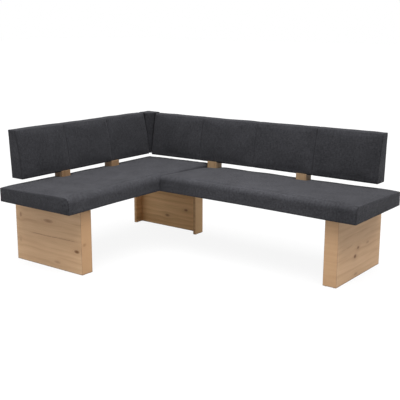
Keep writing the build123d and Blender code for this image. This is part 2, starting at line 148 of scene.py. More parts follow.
class Paint:
    def __init__(self, owner):  # a material or the world
        owner.use_nodes = True
        self.owner = owner
        self.tree = owner.node_tree
        self.tree.nodes.clear()

    def node(self, kind, settings=None, sockets=None, out=0):
        made = self.tree.nodes.new(kind)
        for key, value in (settings or {}).items():
            if key == "stops":
                ramp = made.color_ramp.elements
                for spare in list(ramp)[1:]:
                    ramp.remove(spare)
                ramp[0].position, ramp[0].color = value[0]
                for place, colour in value[1:]:
                    ramp.new(place).color = colour
            else:
                setattr(made, key, value)
        for key, value in (sockets or {}).items():
            if isinstance(value, Wire):
                self.tree.links.new(value.socket, made.inputs[key])
            else:
                made.inputs[key].default_value = value
        return Wire(self, made.outputs[out]) if out is not None else None

    def noise(self, x, y, z, detail, roughness):
        spot = self.node("ShaderNodeCombineXYZ", {}, {0: x, 1: y, 2: z})
        values = {"Vector": spot, "Scale": 1.0, "Detail": detail, "Roughness": roughness}
        return self.node("ShaderNodeTexNoise", {"noise_dimensions": "3D"}, values)

    def grain(self, rule, x, y, *z):
        # noise by a rule: steps to the metre in x and y, a layer where no z is given, detail and roughness
        return self.noise(x * rule[0], y * rule[1], *z, *rule[2:])

    def mottle(self, rule, x, y, z):  # the same, with y's steps in z too
        return self.grain(rule, x, y, z * rule[1])

    def mix(self, share, first, second):
        return self.node("ShaderNodeMix", {"data_type": "RGBA"}, {0: share, 6: first, 7: second}, 2)

    def dot(self, spot, axis):
        return self.node("ShaderNodeVectorMath", {"operation": "DOT_PRODUCT"}, {0: spot, 1: axis}, "Value")

    def spot(self):  # place on the object, in metres
        return self.node("ShaderNodeTexCoord", {}, {}, "Object")

    def axes(self):
        spot = self.spot()
        return [self.dot(spot, axis) for axis in ((1, 0, 0), (0, 1, 0), (0, 0, 1))]

    def surface(self, form, colour, roughness, height, extra=None):
        # the form's relief is the bump's strength and depth
        strength, distance = form["relief"]
        bump = self.node("ShaderNodeBump", {}, {"Height": height, "Strength": strength, "Distance": distance})
        sockets = {"Base Color": colour, "Roughness": roughness, "Specular IOR Level": form["gloss"], "Normal": bump}
        shader = self.node("ShaderNodeBsdfPrincipled", {}, {**sockets, **(extra or {})})
        self.node("ShaderNodeOutputMaterial", {}, {"Surface": shader}, None)
        return self.owner


def newPaint(name):
    return Paint(bpy.data.materials.new(name))


def rgb(red, green, blue):
    return (red, green, blue, 1.0)


def weighed(wires, shares):
    # sum of the wires, each times its share
    total = wires[0] * shares[0]
    for wire, share in zip(wires[1:], shares[1:]):
        total = total + wire * share
    return total


# floor and light: the background is white for what the camera sees, at a plain light level on the object
stage = {
    "half": 40.0,
    "floorColour": rgb(0.34, 0.34, 0.34),
    "floorSeen": rgb(0.80, 0.80, 0.80),
    "shadowKept": 0.11,  # share of the floor's own shading that the camera sees
    "ambient": 0.45,
    "keyStrength": 5.2,
    "keySoftness": 55.0,
    "keyTowards": (0.20, -0.14, 1.0),  # where the key light stands, from the bench
    "fillStrength": 0.45,
    "fillSoftness": 80.0,
    "fillTowards": (-0.9, -0.5, 0.9),
    "boxPlace": (0.35, -0.45, 0.98),  # a softbox before the bench's inner corner
    "boxTowards": (1.10, -1.00, 0.75),
    "boxSize": 0.8,
    "boxPower": 5.2,
}


def seenRays(paint):
    kinds = ("Is Camera Ray", "Is Glossy Ray", "Is Transmission Ray")
    flags = [paint.node("ShaderNodeLightPath", {}, {}, kind) for kind in kinds]
    return (flags[0] + flags[1] + flags[2]).least(1.0)


def layFloor():
    half = stage["half"]
    corners = [(-half, -half, 0), (half, -half, 0), (half, half, 0), (-half, half, 0)]
    mesh = bpy.data.meshes.new("floor")
    mesh.from_pydata(corners, [], [(0, 1, 2, 3)])
    paint = newPaint("pale floor")
    seen = seenRays(paint)
    colour = paint.mix(seen, stage["floorColour"], stage["floorSeen"])
    matt = paint.node("ShaderNodeBsdfDiffuse", {}, {"Color": colour})
    glow = paint.node("ShaderNodeEmission", {}, {"Color": rgb(1, 1, 1), "Strength": 1.0})
    share = seen * (1.0 - stage["shadowKept"])
    both = paint.node("ShaderNodeMixShader", {}, {0: share, 1: matt, 2: glow})
    paint.node("ShaderNodeOutputMaterial", {}, {"Surface": both}, None)
    mesh.materials.append(paint.owner)
    toScene("floor", mesh)


def addLamp(name, kind, towards, strength):
    data = bpy.data.lights.new(name, kind)
    data.energy = strength
    lamp = toScene(name, data)
    lamp.rotation_mode = "QUATERNION"
    lamp.rotation_quaternion = Vector(towards).to_track_quat("Z", "Y")
    return lamp


def setLight():
    world = bpy.data.worlds.new("studio")
    bpy.context.scene.world = world
    paint = Paint(world)
    strength = stage["ambient"] + seenRays(paint) * (1.0 - stage["ambient"])
    sky = paint.node("ShaderNodeBackground", {}, {"Color": rgb(1, 1, 1), "Strength": strength})
    paint.node("ShaderNodeOutputWorld", {}, {"Surface": sky}, None)
    for name in ("key", "fill"):
        sun = addLamp(name, "SUN", stage[name + "Towards"], stage[name + "Strength"])
        sun.data.angle = math.radians(stage[name + "Softness"])
    box = addLamp("softbox", "AREA", stage["boxTowards"], stage["boxPower"])
    box.data.shape, box.data.size = "SQUARE", stage["boxSize"]
    box.location = stage["boxPlace"]
    box.visible_camera = False


layFloor()
setLight()
print("floor and light set")

# anthracite cover cloth: a plain weave of dark and pale yarns, read from the cloth's own map in metres
# warp and weft give a noise's layer, detail and roughness, and slub to fuzz are whole noise rules
cloth = {
    "yarns": 560.0,  # to the metre
    "yarnRun": 70.0,  # tone steps along a yarn
    "warp": (3.0, 2.0, 0.6),
    "weft": (9.0, 2.0, 0.6),
    "slub": (95.0, 38.0, 5.0, 3.0, 0.55),  # uneven yarn, felt as faint upright streaks
    "fleck": (70.0, 105.0, 12.0, 4.0, 0.68),  # melange flecks, under a centimetre
    "cloud": (9.0, 9.0, 1.0, 3.0, 0.5),
    "fuzz": (2600.0, 2600.0, 2.0, 1.0, 0.5),
    "overStep": 0.35,  # how softly one yarn passes over another
    "gapStep": 0.45,
    "gapShares": (0.55, 0.45),  # of the tone: in the gaps between yarns, and added on them
    "toneShares": (1.05, 0.72, 1.05, 0.50),  # yarn, slub, fleck and cloud
    "toneBase": 1.160,
    "darkYarn": rgb(0.0090, 0.0089, 0.0105),
    "paleYarn": rgb(0.0610, 0.0614, 0.0690),
    "seamAndPaintedShadeColour": rgb(0.006, 0.006, 0.007),
    "seamAndPaintedShadeShare": 0.85,
    "sheenWeight": 0.05,
    "sheenRoughness": 0.40,
    "sheenTint": rgb(0.85, 0.84, 0.90),
    "yarnRound": 0.6,
    "heightShares": (1.0, 0.35, 0.12),  # yarn, fuzz and slub
    "roughness": (0.82, 0.16),
    "gloss": 0.12,
    "relief": (0.55, 0.0009),
}


def clothFinish(name):
    paint = newPaint(name)
    flat = paint.node("ShaderNodeUVMap", {"uv_map": "weave"})
    u, v = paint.dot(flat, (1, 0, 0)), paint.dot(flat, (0, 1, 0))
    yarns, run, turns = cloth["yarns"], cloth["yarnRun"], cloth["yarns"] * math.pi
    crossing = (u * turns).sine() * (v * turns).sine()  # plus where the warp lies on top
    onTop = crossing.step(-cloth["overStep"], cloth["overStep"])
    warp = paint.noise(u * yarns, v * run, *cloth["warp"])
    weft = paint.noise(u * run, v * yarns, *cloth["weft"])
    yarn = warp * onTop + weft * (1.0 - onTop)
    slub, fleck, cloud, fuzz = (paint.grain(cloth[key], u, v) for key in ("slub", "fleck", "cloud", "fuzz"))
    tone = weighed((yarn, slub, fleck, cloud), cloth["toneShares"]) - cloth["toneBase"]
    heather = paint.mix(tone, cloth["darkYarn"], cloth["paleYarn"])
    inGaps, onYarns = cloth["gapShares"]
    kept = inGaps + onYarns * abs(crossing).step(0.0, cloth["gapStep"])  # dark where four yarns meet
    woven = paint.mix(kept, cloth["darkYarn"], heather)
    # the attribute darkens seam lines, and carries painted shade where the cloth turns under, where ends meet, and
    # over the backs and the corner filler
    seam = paint.node("ShaderNodeAttribute", {"attribute_name": "seam"}, {}, "Fac")
    colour = paint.mix(seam * cloth["seamAndPaintedShadeShare"], woven, cloth["seamAndPaintedShadeColour"])
    smoothest, rougher = cloth["roughness"]
    height = weighed((abs(crossing) ** cloth["yarnRound"], fuzz, slub), cloth["heightShares"])
    sheen = {"Sheen " + key: cloth["sheen" + key] for key in ("Weight", "Roughness", "Tint")}
    return paint.surface(cloth, colour, smoothest + rougher * yarn, height, sheen)


# knotty oak decor on the legs, its grain running level round each leg's corners
oak = {
    "deepColour": rgb(0.42, 0.250, 0.130),
    "bodyColour": rgb(0.565, 0.362, 0.208),
    "paleColour": rgb(0.655, 0.437, 0.266),
    "knotColour": rgb(0.155, 0.060, 0.017),
    "rimColour": rgb(0.30, 0.165, 0.080),
    "jointAndPaintedShadeColour": rgb(0.13, 0.085, 0.052),
    "knotReach": 1.15,
    "knotRings": 7.5,
    "knotFlow": (0.10, 0.72),  # how soon the grain closes again round a knot, and how far it bends
    "ragged": (95.0, 150.0, 3.0, 0.6),  # a knot's edge
    "wander": (1.3, 6.0, 2.0, 0.5),
    "wanderBy": 0.035,
    "wobble": (9.0, 4.0, 3.0, 0.6),  # a crack's course
    "wobbleBy": 0.012,
    "broken": (30.0, 60.0, 2.0, 0.6),
    "brokenStep": (0.30, 0.62),
    "crackTaper": 0.18,  # share of a crack's length
    "broad": (1.7, 30.0, 5.0, 0.62),
    "fine": (7.0, 240.0, 3.0, 0.6),
    "pores": (26.0, 1400.0, 2.0, 0.5),
    "poreStep": (0.60, 0.78),
    "poreShare": 0.16,
    "figure": (190.0, 11.0),  # late wood lines, and how far the broad noise bends them
    "toneShares": (0.80, 0.30, 0.08),  # broad, fine and figure
    "toneBase": 0.59,
    "toneMiddle": 0.495,
    "tonePlaces": (0.26, 0.50, 0.74),  # of the deep, body and pale colours
    "paintedFloorShadePlace": 0.002,  # painted shade along the floor line
    "paintedFloorShadeHalf": 0.0035,
    "paintedFloorShadeShare": 0.75,
    "edgeHalf": 0.0014,
    "edgeShare": 0.60,
    "endShare": 0.5,
    "heightShares": (0.5, -0.6, 0.2),  # fine, pores and figure
    "roughness": 0.50,
    "roughShares": (0.14, 0.10),  # fine and pores
    "gloss": 0.30,
    "relief": (0.35, 0.0004),
}

# edges are the mitres' and board edges' places along the grain
# front and ends are (direction, from, to) of the front face and of the boards' end faces
# the front face's lean is painted light: the colour it leans to, and how far; the deep colour paints shade, the pale
# colour paints light
# knots are (along, across, half length, half height, strength), with along = x + y on a leg
# cracks are (from, to, across, fall, half height, strength)
legGrain = {"along": (1, 1, 0), "across": (0, 0, 1), "through": (0.7, -0.7, 0)}
oakPieces = {
    "left_leg": {
        **legGrain,
        "shift": 0.0,
        "contrast": 0.78,
        "edges": (-0.9925, -1.5595, -0.9081),
        "front": ((1, 0, 0), -0.4168, -0.4163),
        "frontPaintedLight": ("deepColour", 0.95),
        "ends": ((0, 1, 0), -0.4918, -0.4914),
        "paintedLightTint": (1.0, 1.0, 1.0),
        "knots": (
            (-1.032, 0.139, 0.016, 0.008, 1.0),
            (-1.269, 0.289, 0.030, 0.009, 0.55),
            (-1.516, 0.293, 0.007, 0.012, 0.55),
            (-1.526, 0.130, 0.005, 0.009, 0.30),
            (-1.201, 0.044, 0.020, 0.007, 0.35),
            (-0.967, 0.182, 0.011, 0.008, 0.40),
        ),
        "cracks": ((-1.46, -1.00, 0.193, 0.006, 0.0016, 0.75), (-1.07, -0.95, 0.303, 0.0, 0.0012, 0.4)),
    },
    "corner_leg": {
        **legGrain,
        "shift": 7.3,
        "contrast": 1.35,
        "edges": (),
        "front": ((1, 0, 0), -0.4258, -0.4253),
        "frontPaintedLight": ("paleColour", 0.90),
        "ends": ((0, -1, 0), -0.5342, -0.5338),
        # painted light: the corner leg, in the shade under the seats, is made lighter and warmer
        "paintedLightTint": (1.18, 1.10, 0.90),
        "knots": ((0.040, 0.144, 0.013, 0.007, 0.9), (-0.131, 0.082, 0.015, 0.008, 0.7)),
        "cracks": ((-0.25, 0.06, 0.236, -0.008, 0.0013, 0.5),),
    },
    "right_leg": {
        **legGrain,
        "shift": 3.1,
        "contrast": 0.74,
        "edges": (1.0035, 1.5700, 0.9191),
        "front": ((0, -1, 0), -0.1293, -0.1288),
        "frontPaintedLight": ("deepColour", 0.55),
        "ends": ((-1, 0, 0), -0.7903, -0.7899),
        "paintedLightTint": (1.0, 1.0, 1.0),
        "knots": (
            (1.264, 0.180, 0.011, 0.007, 0.8),
            (1.229, 0.135, 0.013, 0.009, 0.95),
            (1.391, 0.184, 0.016, 0.006, 0.35),
            (1.248, 0.023, 0.020, 0.006, 0.4),
        ),
        "cracks": ((1.05, 1.20, 0.203, 0.012, 0.0014, 0.45),),
    },
}
postGrain = {
    "along": (0, 0, 1),
    "across": (0.8, 0.6, 0),
    "through": (-0.6, 0.8, 0),
    "shift": 5.7,
    "contrast": 1.0,
    "knots": (),
    "cracks": (),
}
# painted shade: the posts are made darker, the short wing's most, for the shade under the backs
postPaintedShade = {"short": (0.39, 0.365, 0.33), "long": (0.51, 0.52, 0.49)}


def tinted(key, board):
    return rgb(*(value * share for value, share in zip(oak[key], board["paintedLightTint"])))


def oakFinish(name, board):
    paint = newPaint(name)
    spot = paint.spot()
    along, across = paint.dot(spot, board["along"]), paint.dot(spot, board["across"])
    through = paint.dot(spot, board["through"]) + board["shift"]

    def grain(key, place):  # place is across the grain
        return paint.grain(oak[key], along, place, through)

    bent, dark, rim = across, 0.0, 0.0
    closing, bending = oak["knotFlow"]
    for knotAlong, knotAcross, halfLength, halfHeight, strength in board["knots"]:
        aside = (along - knotAlong) / (oak["knotReach"] * halfLength)
        off = across - knotAcross
        tall = off / (oak["knotReach"] * halfHeight)
        near = aside * aside + tall * tall
        bent = bent - off * (near * closing).decay() * bending
        ragged = near * (0.55 + 0.9 * grain("ragged", across))
        rings = (near**0.5 * oak["knotRings"]).sine() * 0.30 + 0.70
        dark = dark + (ragged * ragged * 0.8).decay() * strength
        rim = rim + (near * 0.20).decay() * rings * (0.9 * strength)
    line = bent + (grain("wander", bent) - 0.5) * oak["wanderBy"]
    for start, end, crackAcross, fall, halfHeight, strength in board["cracks"]:
        share = (along - start) / (end - start)
        wobble = (grain("wobble", 1.0) - 0.5) * oak["wobbleBy"]
        off = (across - crackAcross - share * fall - wobble) / halfHeight
        ends = share.step(0.0, oak["crackTaper"]) * (1.0 - share.step(1.0 - oak["crackTaper"], 1.0))
        broken = grain("broken", across).step(*oak["brokenStep"])
        dark = dark + off.hill() * ends * broken * strength
        rim = rim + (off * off * 0.06).decay() * ends * (0.35 * strength)
    broad, fine = grain("broad", line), grain("fine", line)
    pores = grain("pores", line).step(*oak["poreStep"])
    figure = weighed((line, broad), oak["figure"]).sine() * 0.5 + 0.5
    tone = weighed((broad, fine, figure), oak["toneShares"]) - oak["toneBase"]
    tone = tone * board["contrast"] + oak["toneMiddle"]
    colours = [tinted(key, board) for key in ("deepColour", "bodyColour", "paleColour")]
    body = paint.node("ShaderNodeValToRGB", {"stops": list(zip(oak["tonePlaces"], colours))}, {0: tone})
    oakColour = paint.mix(pores * oak["poreShare"], body, colours[0])
    height = weighed((fine, pores, figure), oak["heightShares"])
    if "front" in board:
        # painted shade along the floor line, and dark joint lines at the mitres and board edges
        wornJointsAndPaintedShade = ((across - oak["paintedFloorShadePlace"]) / oak["paintedFloorShadeHalf"]).hill() * oak["paintedFloorShadeShare"]
        for edge in board["edges"]:
            wornJointsAndPaintedShade = wornJointsAndPaintedShade + ((along - edge) / oak["edgeHalf"]).hill() * oak["edgeShare"]
        # painted light on the front face: it leans to the deep colour for shade, to the pale colour for light
        (facing, low, high), (lean, much) = board["front"], board["frontPaintedLight"]
        oakColour = paint.mix(paint.dot(spot, facing).step(low, high) * much, oakColour, tinted(lean, board))
        facing, low, high = board["ends"]
        oakColour = paint.mix(paint.dot(spot, facing).step(low, high) * oak["endShare"], oakColour, oak["rimColour"])
        oakColour = paint.mix(wornJointsAndPaintedShade.least(0.8), oakColour, oak["jointAndPaintedShadeColour"])
        oakColour = paint.mix((rim * 0.55).least(0.75), oakColour, oak["rimColour"])
        oakColour = paint.mix((dark * 0.95).least(0.93), oakColour, oak["knotColour"])
        height = height - dark * 0.5
    roughness = oak["roughness"] + weighed((fine, pores), oak["roughShares"])
    return paint.surface(oak, oakColour, roughness, height)


# raw softwood of the hidden frame, seen on the cleats
softwood = {
    "early": rgb(0.66, 0.50, 0.31),
    "late": rgb(0.50, 0.32, 0.16),
    "rings": 900.0,
    "wander": (2.0, 9.0, 3.0, 0.5),
    "fibre": (12.0, 500.0, 3.0, 0.6),
    "gloss": 0.25,
    "relief": (0.4, 0.0004),
}


def softwoodFinish(name, swapped):
    paint = newPaint(name)
    x, y, height = paint.axes()
    run, side = (y, x) if swapped else (x, y)
    wander, fibre = (paint.mottle(softwood[key], run, side, height) for key in ("wander", "fibre"))
    rings = ((side * 0.8 + height + wander * 0.05) * softwood["rings"]).sine() * 0.5 + 0.5
    colour = paint.mix(rings * 0.45 + fibre * 0.5, softwood["early"], softwood["late"])
    return paint.surface(softwood, colour, 0.66 + 0.18 * fibre, fibre + rings * 0.3)


# black spun lining: short fibres pressed flat, with a grid of weld points
lining = {
    "dark": rgb(0.013, 0.013, 0.014),
    "pale": rgb(0.042, 0.042, 0.045),
    "weldPitch": 0.0026,
    "fibres": ((900.0, 160.0, 1.0, 3.0, 0.65), (160.0, 900.0, 6.0, 3.0, 0.65)),  # lying both ways
    "gloss": 0.25,
    "relief": (0.5, 0.0004),
}


def liningFinish(name):
    paint = newPaint(name)
    x, y, _ = paint.axes()
    turns = math.pi / lining["weldPitch"]
    weld = abs((x * turns).sine() * (y * turns).sine()).step(0.55, 0.95)
    fibre = weighed([paint.grain(rule, x, y) for rule in lining["fibres"]], (0.5, 0.5))
    colour = paint.mix(fibre * 1.2 - 0.1, lining["dark"], lining["pale"])
    return paint.surface(lining, colour, 0.62 + 0.3 * fibre, fibre - weld * 0.8)


# zinc plated steel and moulded plastic
zinc = {
    "blue": rgb(0.50, 0.51, 0.52),
    "warm": rgb(0.70, 0.70, 0.67),
    "spangle": (180.0, 180.0, 3.0, 0.6),
    "smear": (40.0, 40.0, 2.0, 0.5),
    "gloss": 0.5,
    "relief": (0.15, 0.0003),
}
plastic = {
    "dark": rgb(0.045, 0.035, 0.028),
    "wornJointsAndPaintedShade": rgb(0.085, 0.070, 0.058),
    "grain": (1500.0, 1500.0, 2.0, 0.5),
    "scuff": (120.0, 30.0, 3.0, 0.6),
    "scuffUp": 60.0,  # its steps to the metre upwards
    "gloss": 0.5,
    "relief": (0.25, 0.0002),
}


def zincFinish(name):
    paint = newPaint(name)
    axes = paint.axes()
    spangle, smear = (paint.mottle(zinc[key], *axes) for key in ("spangle", "smear"))
    colour = paint.mix(spangle, zinc["blue"], zinc["warm"])
    return paint.surface(zinc, colour, 0.28 + 0.2 * smear + 0.1 * spangle, spangle, {"Metallic": 1.0})


def glideFinish(name):
    paint = newPaint(name)
    x, y, z = paint.axes()
    grain = paint.mottle(plastic["grain"], x, y, z)
    scuff = paint.grain(plastic["scuff"], x, y, z * plastic["scuffUp"])
    colour = paint.mix(scuff, plastic["dark"], plastic["wornJointsAndPaintedShade"])
    return paint.surface(plastic, colour, 0.42 + 0.2 * scuff, grain)


# what runs along each wing in the hidden frame
wingRun = ("seat_front_rail", "seat_rear_rail", "seat_deck")
wingRun += ("back_rear_board", "back_bottom_rail", "back_top_rail", "back_ribs")
alongShort = ["short_" + name for name in wingRun] + ["right_leg_cleat", "corner_core"]
alongShort += ["long_seat_" + name for name in ("cross_rails", "inner_end_rail", "outer_end_rail")]
alongLong = ["long_" + name for name in wingRun] + ["left_leg_cleat", "corner_leg_cleat"]
alongLong += ["short_seat_" + name for name in ("cross_rails", "outer_end_rail", "corner_end_rail")]
metal = ["corner_screws", "joining_plates", "joining_screws", "cleat_screws", "panel_screws"]
metal += ["post_bolts", "post_washers", "back_inserts"]


def dress(names, material):
    for name in names:
        nodes[name].data.materials.clear()
        nodes[name].data.materials.append(material)


def dressFrame():
    for leg, board in oakPieces.items():
        dress([leg + part for part in ("_panel", "_front_board", "_rear_board")], oakFinish(leg + " oak", board))
    for wing, paintedLightTint in postPaintedShade.items():
        posts = [name for name in nodes if name.endswith("_post") and name.startswith(wing)]
        dress(posts, oakFinish(wing + " wing post oak", {**postGrain, "paintedLightTint": paintedLightTint}))
    dress(alongShort, softwoodFinish("softwood along the short wing", True))
    dress(alongLong, softwoodFinish("softwood along the long wing", False))
    dress(metal, zincFinish("zinc plated steel"))
    dress(["floor_glides"], glideFinish("glide plastic"))


dressFrame()
coverCloth = clothFinish("anthracite heather cloth")
liningCloth = liningFinish("black lining")
print("materials made")

# pads: a loop carried along the piece, closed by a grid patch at each end
# the loop has four sides: foot (rear to front), front, top (front to rear) and rear
pads = {
    "tiny": 0.0003,  # width of a sharp step in a grid
    "seamShadeHalf": 0.0011,
    "endMaps": (3.0, 4.0),  # where the end patches start on the cloth's map
    "puckerSeed": 5,  # added to a pad's own seed
}


def loopOf(*sides):  # each side with its start and without its end
    return np.concatenate([side[..., :-1] for side in sides], -1)


def capNumbers(ring, wide, high, start):
    # numbers of an end patch: its border is the ring, its inside is new
    grid = np.empty((wide + 1, high + 1), int)
    grid[1:-1, 1:-1] = start + np.arange((wide - 1) * (high - 1)).reshape(wide - 1, high - 1)
    grid[:, 0] = ring[: wide + 1]
    grid[wide, :] = ring[wide : wide + high + 1]
    grid[:, high] = ring[wide + high : 2 * wide + high + 1][::-1]
    grid[0, :] = np.append(ring[2 * wide + high :], ring[0])[::-1]
    return grid


def coons(grid):
    # fills a grid from its border: both ruled surfaces added, less the corners' bilinear one
    u = np.linspace(0, 1, grid.shape[0])[:, None, None]
    v = np.linspace(0, 1, grid.shape[1])[None, :, None]
    ruled = (1 - v) * grid[:, :1] + v * grid[:, -1:] + (1 - u) * grid[:1] + u * grid[-1:]
    low = (1 - v) * grid[:1, :1] + v * grid[:1, -1:]
    high = (1 - v) * grid[-1:, :1] + v * grid[-1:, -1:]
    return ruled - (1 - u) * low - u * high


def cells(grid):
    # the four corners of each cell, as rows
    corners = np.stack([grid[:-1, :-1], grid[1:, :-1], grid[1:, 1:], grid[:-1, 1:]], 2)
    return corners.reshape((-1,) + corners.shape[2:])


def padNumbers(count, wide, high):
    # vertex numbers of the tube and of both end patches
    around = 2 * (wide + high)
    tube = np.arange(count * around).reshape(count, around)
    inside = (wide - 1) * (high - 1)
    first = capNumbers(tube[0], wide, high, tube.size)
    last = capNumbers(tube[-1], wide, high, tube.size + inside)
    return tube, first, last


def padQuads(tube, first, last):
    closed = np.concatenate([tube, tube[:, :1]], 1)
    return np.concatenate([cells(closed), cells(first), cells(last)[:, ::-1]])


def capPoints(ring, wide, high):
    # an end patch's points from its ring
    numbers = capNumbers(np.arange(len(ring)), wide, high, 0)
    border = np.zeros((wide + 1, high + 1, 3))
    border[:, [0, -1]] = ring[numbers[:, [0, -1]]]
    border[[0, -1], :] = ring[numbers[[0, -1], :]]
    return coons(border)


def bothCaps(tube, wide, high):
    return [capPoints(ring, wide, high) for ring in (tube[0], tube[-1])]


def padVertices(tube, first, last):
    inner = [patch[1:-1, 1:-1].reshape(-1, 3) for patch in (first, last)]
    return np.concatenate([tube.reshape(-1, 3)] + inner)


def padPiece(name, tube, caps, flatTube, flatCap, seam, wide, high):
    # the finished cover, with its map in metres, its dark seam lines and its painted shade
    quads = padQuads(*padNumbers(len(tube), wide, high))
    mesh = bpy.data.meshes.new(name + "_upholstery")
    mesh.from_pydata(padVertices(tube, *caps), [], quads)
    across, up = flatCap
    first, last = (cells(together(across[:, None], up[None, :] + shift)) for shift in pads["endMaps"])
    corners = np.concatenate([cells(flatTube), first, last[:, ::-1]])
    mesh.uv_layers.new(name="weave").data.foreach_set("uv", corners.ravel())
    shade = np.zeros(len(mesh.vertices), np.float32)
    shade[: seam.size] = seam.ravel()
    mesh.attributes.new("seam", "FLOAT", "POINT").data.foreach_set("value", shade)
    mesh.polygons.foreach_set("use_smooth", np.ones(len(quads), bool))
    mesh.materials.append(coverCloth)
    mesh.update()
    piece = toScene(name + "_upholstery", mesh)
    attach(piece, "root")
    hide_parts(name + "_cover", name + "_foam")


def tubeNormals(tube):
    # across both grid directions, pointing out
    lengthwise = np.gradient(tube, axis=0)
    around = np.roll(tube, -1, 1) - np.roll(tube, 1, 1)
    normal = np.cross(lengthwise, around)
    return normal / np.maximum(np.linalg.norm(normal, axis=-1, keepdims=True), 1e-9)


def waves(x, y, seed, shortest, longest, count=14):
    # sum of sine waves of seeded direction and phase, about -1 to 1
    draw = np.random.default_rng(seed)
    length = draw.uniform(shortest, longest, count)
    angle = draw.uniform(0, 2 * math.pi, count)
    phase = draw.uniform(0, 2 * math.pi, count)
    kx = 2 * math.pi * np.cos(angle) / length
    ky = 2 * math.pi * np.sin(angle) / length
    return np.sin(x[..., None] * kx + y[..., None] * ky + phase).sum(-1) / math.sqrt(count)


def hill(distance, half):  # e to the minus square
    return np.exp(-((distance / half) ** 2))


def fade(distance, reach):  # e to the minus distance
    return np.exp(-distance / reach)


def smooth(share):  # 0 to 1 with level ends
    share = np.clip(share, 0, 1)
    return share * share * (3 - 2 * share)


def fromTo(ends, share):
    return ends[0] + (ends[1] - ends[0]) * share


def toEnd(stations, start, stop):  # distance to the nearer end
    return np.minimum(stations - start, stop - stations)


def runLength(points):
    # distance along rows of points, from 0
    steps = np.linalg.norm(np.diff(points, axis=0), axis=-1)
    return np.concatenate([np.zeros((1,) + steps.shape[1:]), np.cumsum(steps, axis=0)])


def loopPath(tube, station):
    # distance round one loop, from its start
    return runLength(tube[station])


def flatMap(stations, path, tube):
    # the cloth's map: along the pad, and round its loop to the closing edge
    middle = tube[len(stations) // 2]
    span = np.append(path, path[-1] + np.linalg.norm(middle[-1] - middle[0]))
    return together(stations[:, None], span[None, :])


def endShape(fromEnd, radius, form):
    # how far the loop is drawn in near an end: a quarter round with a sewn valley in it
    inside = np.clip(radius - fromEnd, 0, None)
    rounding = radius - np.sqrt(np.clip(radius**2 - inside**2, 0, None))
    return rounding + form["seamDepth"] * hill(fromEnd - form["seamPlace"], form["seamHalf"])


def endShade(fromEnd, form):
    return form["seamShade"] * hill(fromEnd - form["seamPlace"], pads["seamShadeHalf"])


def sideDraw(drawn, form, wide, high):
    # how far each place of a loop is drawn in, blending from side to side
    foot, front, top, rear = form["drawWeights"]
    turns = [0, wide, wide + 3, wide + high, 2 * wide + high + 1, 2 * (wide + high)]
    weights = np.interp(np.arange(2 * (wide + high)), turns, [foot, foot, front, top, rear, rear])
    return drawn[:, None] * weights


def roughLift(form, seed, stations, across, path, nearness):
    # soft unevenness all over, and puckers where nearness is high
    along = stations[:, None]
    rolling = waves(along, across, seed, *form["rollingWaves"])
    pucker = waves(along * form["puckerStretch"], path[None, :], seed + pads["puckerSeed"], *form["puckerWaves"])
    return form["rolling"] * rolling + form["pucker"] * pucker * nearness[:, None]


def movedCaps(tube, moves, wide, high):
    return [points + move for points, move in zip(bothCaps(tube, wide, high), moves)]


def sortedWith(regular, *extra):
    return np.sort(np.concatenate([regular, *(np.asarray(part, float) for part in extra)]))


def bothEdges(low, high):
    # a sharp step just outside each limit
    return [low - pads["tiny"], low, high, high + pads["tiny"]]


def between(values, low, high):
    return (values > low - pads["tiny"] / 2) & (values < high + pads["tiny"] / 2)


# cloth: each pad's coarse form is blown up a little while its seams and foot are held
swellRun = {
    "frames": 20,
    "settings": {
        "quality": 6,
        "mass": 0.3,
        "use_pressure": True,
        "vertex_group_mass": "held",
        "tension_stiffness": 18.0,
        "compression_stiffness": 18.0,
        "shear_stiffness": 6.0,
        "bending_stiffness": 1.2,
        "air_damping": 4.0,
    },
    "jobs": {},
}


def addSwell(name, form, tube, heldTube, wide, high):
    numbers = padNumbers(len(tube), wide, high)
    points = padVertices(tube, *bothCaps(tube, wide, high))
    held = np.full(len(points), form["heldCaps"])
    held[: heldTube.size] = heldTube.ravel()
    job = {"points": points, "numbers": numbers, "most": form["most"], "moved": np.zeros_like(points)}
    job["size"] = (len(tube), wide, high)
    swellRun["jobs"][name] = job
    mesh = bpy.data.meshes.new(name + "_trial")
    mesh.from_pydata(points, [], padQuads(*numbers))
    trial = job["trial"] = toScene(name + "_trial", mesh)
    group = trial.vertex_groups.new(name="held")
    for weight in np.unique(np.round(held, 2)):
        if weight > 0:
            group.add(np.flatnonzero(np.round(held, 2) == weight).tolist(), float(weight), "REPLACE")
    swell = trial.modifiers.new("swell", "CLOTH")
    for key, value in swellRun["settings"].items():
        setattr(swell.settings, key, value)
    swell.settings.uniform_pressure_force = form["pressure"]
    swell.settings.effector_weights.gravity = 0.0
    swell.collision_settings.use_collision = False


def runSwell():
    scene = bpy.context.scene
    for number in range(1, swellRun["frames"] + 1):
        scene.frame_set(number)
    graph = bpy.context.evaluated_depsgraph_get()
    for name, job in swellRun["jobs"].items():
        blown = np.empty(len(job["points"]) * 3)
        job["trial"].evaluated_get(graph).data.vertices.foreach_get("co", blown)
        moved = blown.reshape(-1, 3) - job["points"]
        far = np.maximum(np.linalg.norm(moved, axis=-1, keepdims=True), 1e-9)
        job["moved"] = moved / far * job["most"] * np.tanh(far / job["most"])
        print("  %s swells by %.1f mm at most" % (name, 1000 * np.linalg.norm(job["moved"], axis=-1).max()))
        bpy.data.objects.remove(job["trial"])
    scene.frame_set(1)


def cubicRows(position, count, loop=False):
    # weights that read a row of count values at any positions along a smooth curve
    base = np.floor(position).astype(int)
    f = position - base
    taps = [-0.5 * f**3 + f**2 - 0.5 * f, 1.5 * f**3 - 2.5 * f**2 + 1]
    taps += [-1.5 * f**3 + 2 * f**2 + 0.5 * f, 0.5 * f**3 - 0.5 * f**2]
    spots = base[:, None] + np.arange(-1, 3)
    spots = spots % count if loop else np.clip(spots, 0, count - 1)
    weights = np.zeros((len(position), count))
    np.add.at(weights, (np.arange(len(position))[:, None], spots), np.stack(taps, -1))
    return weights


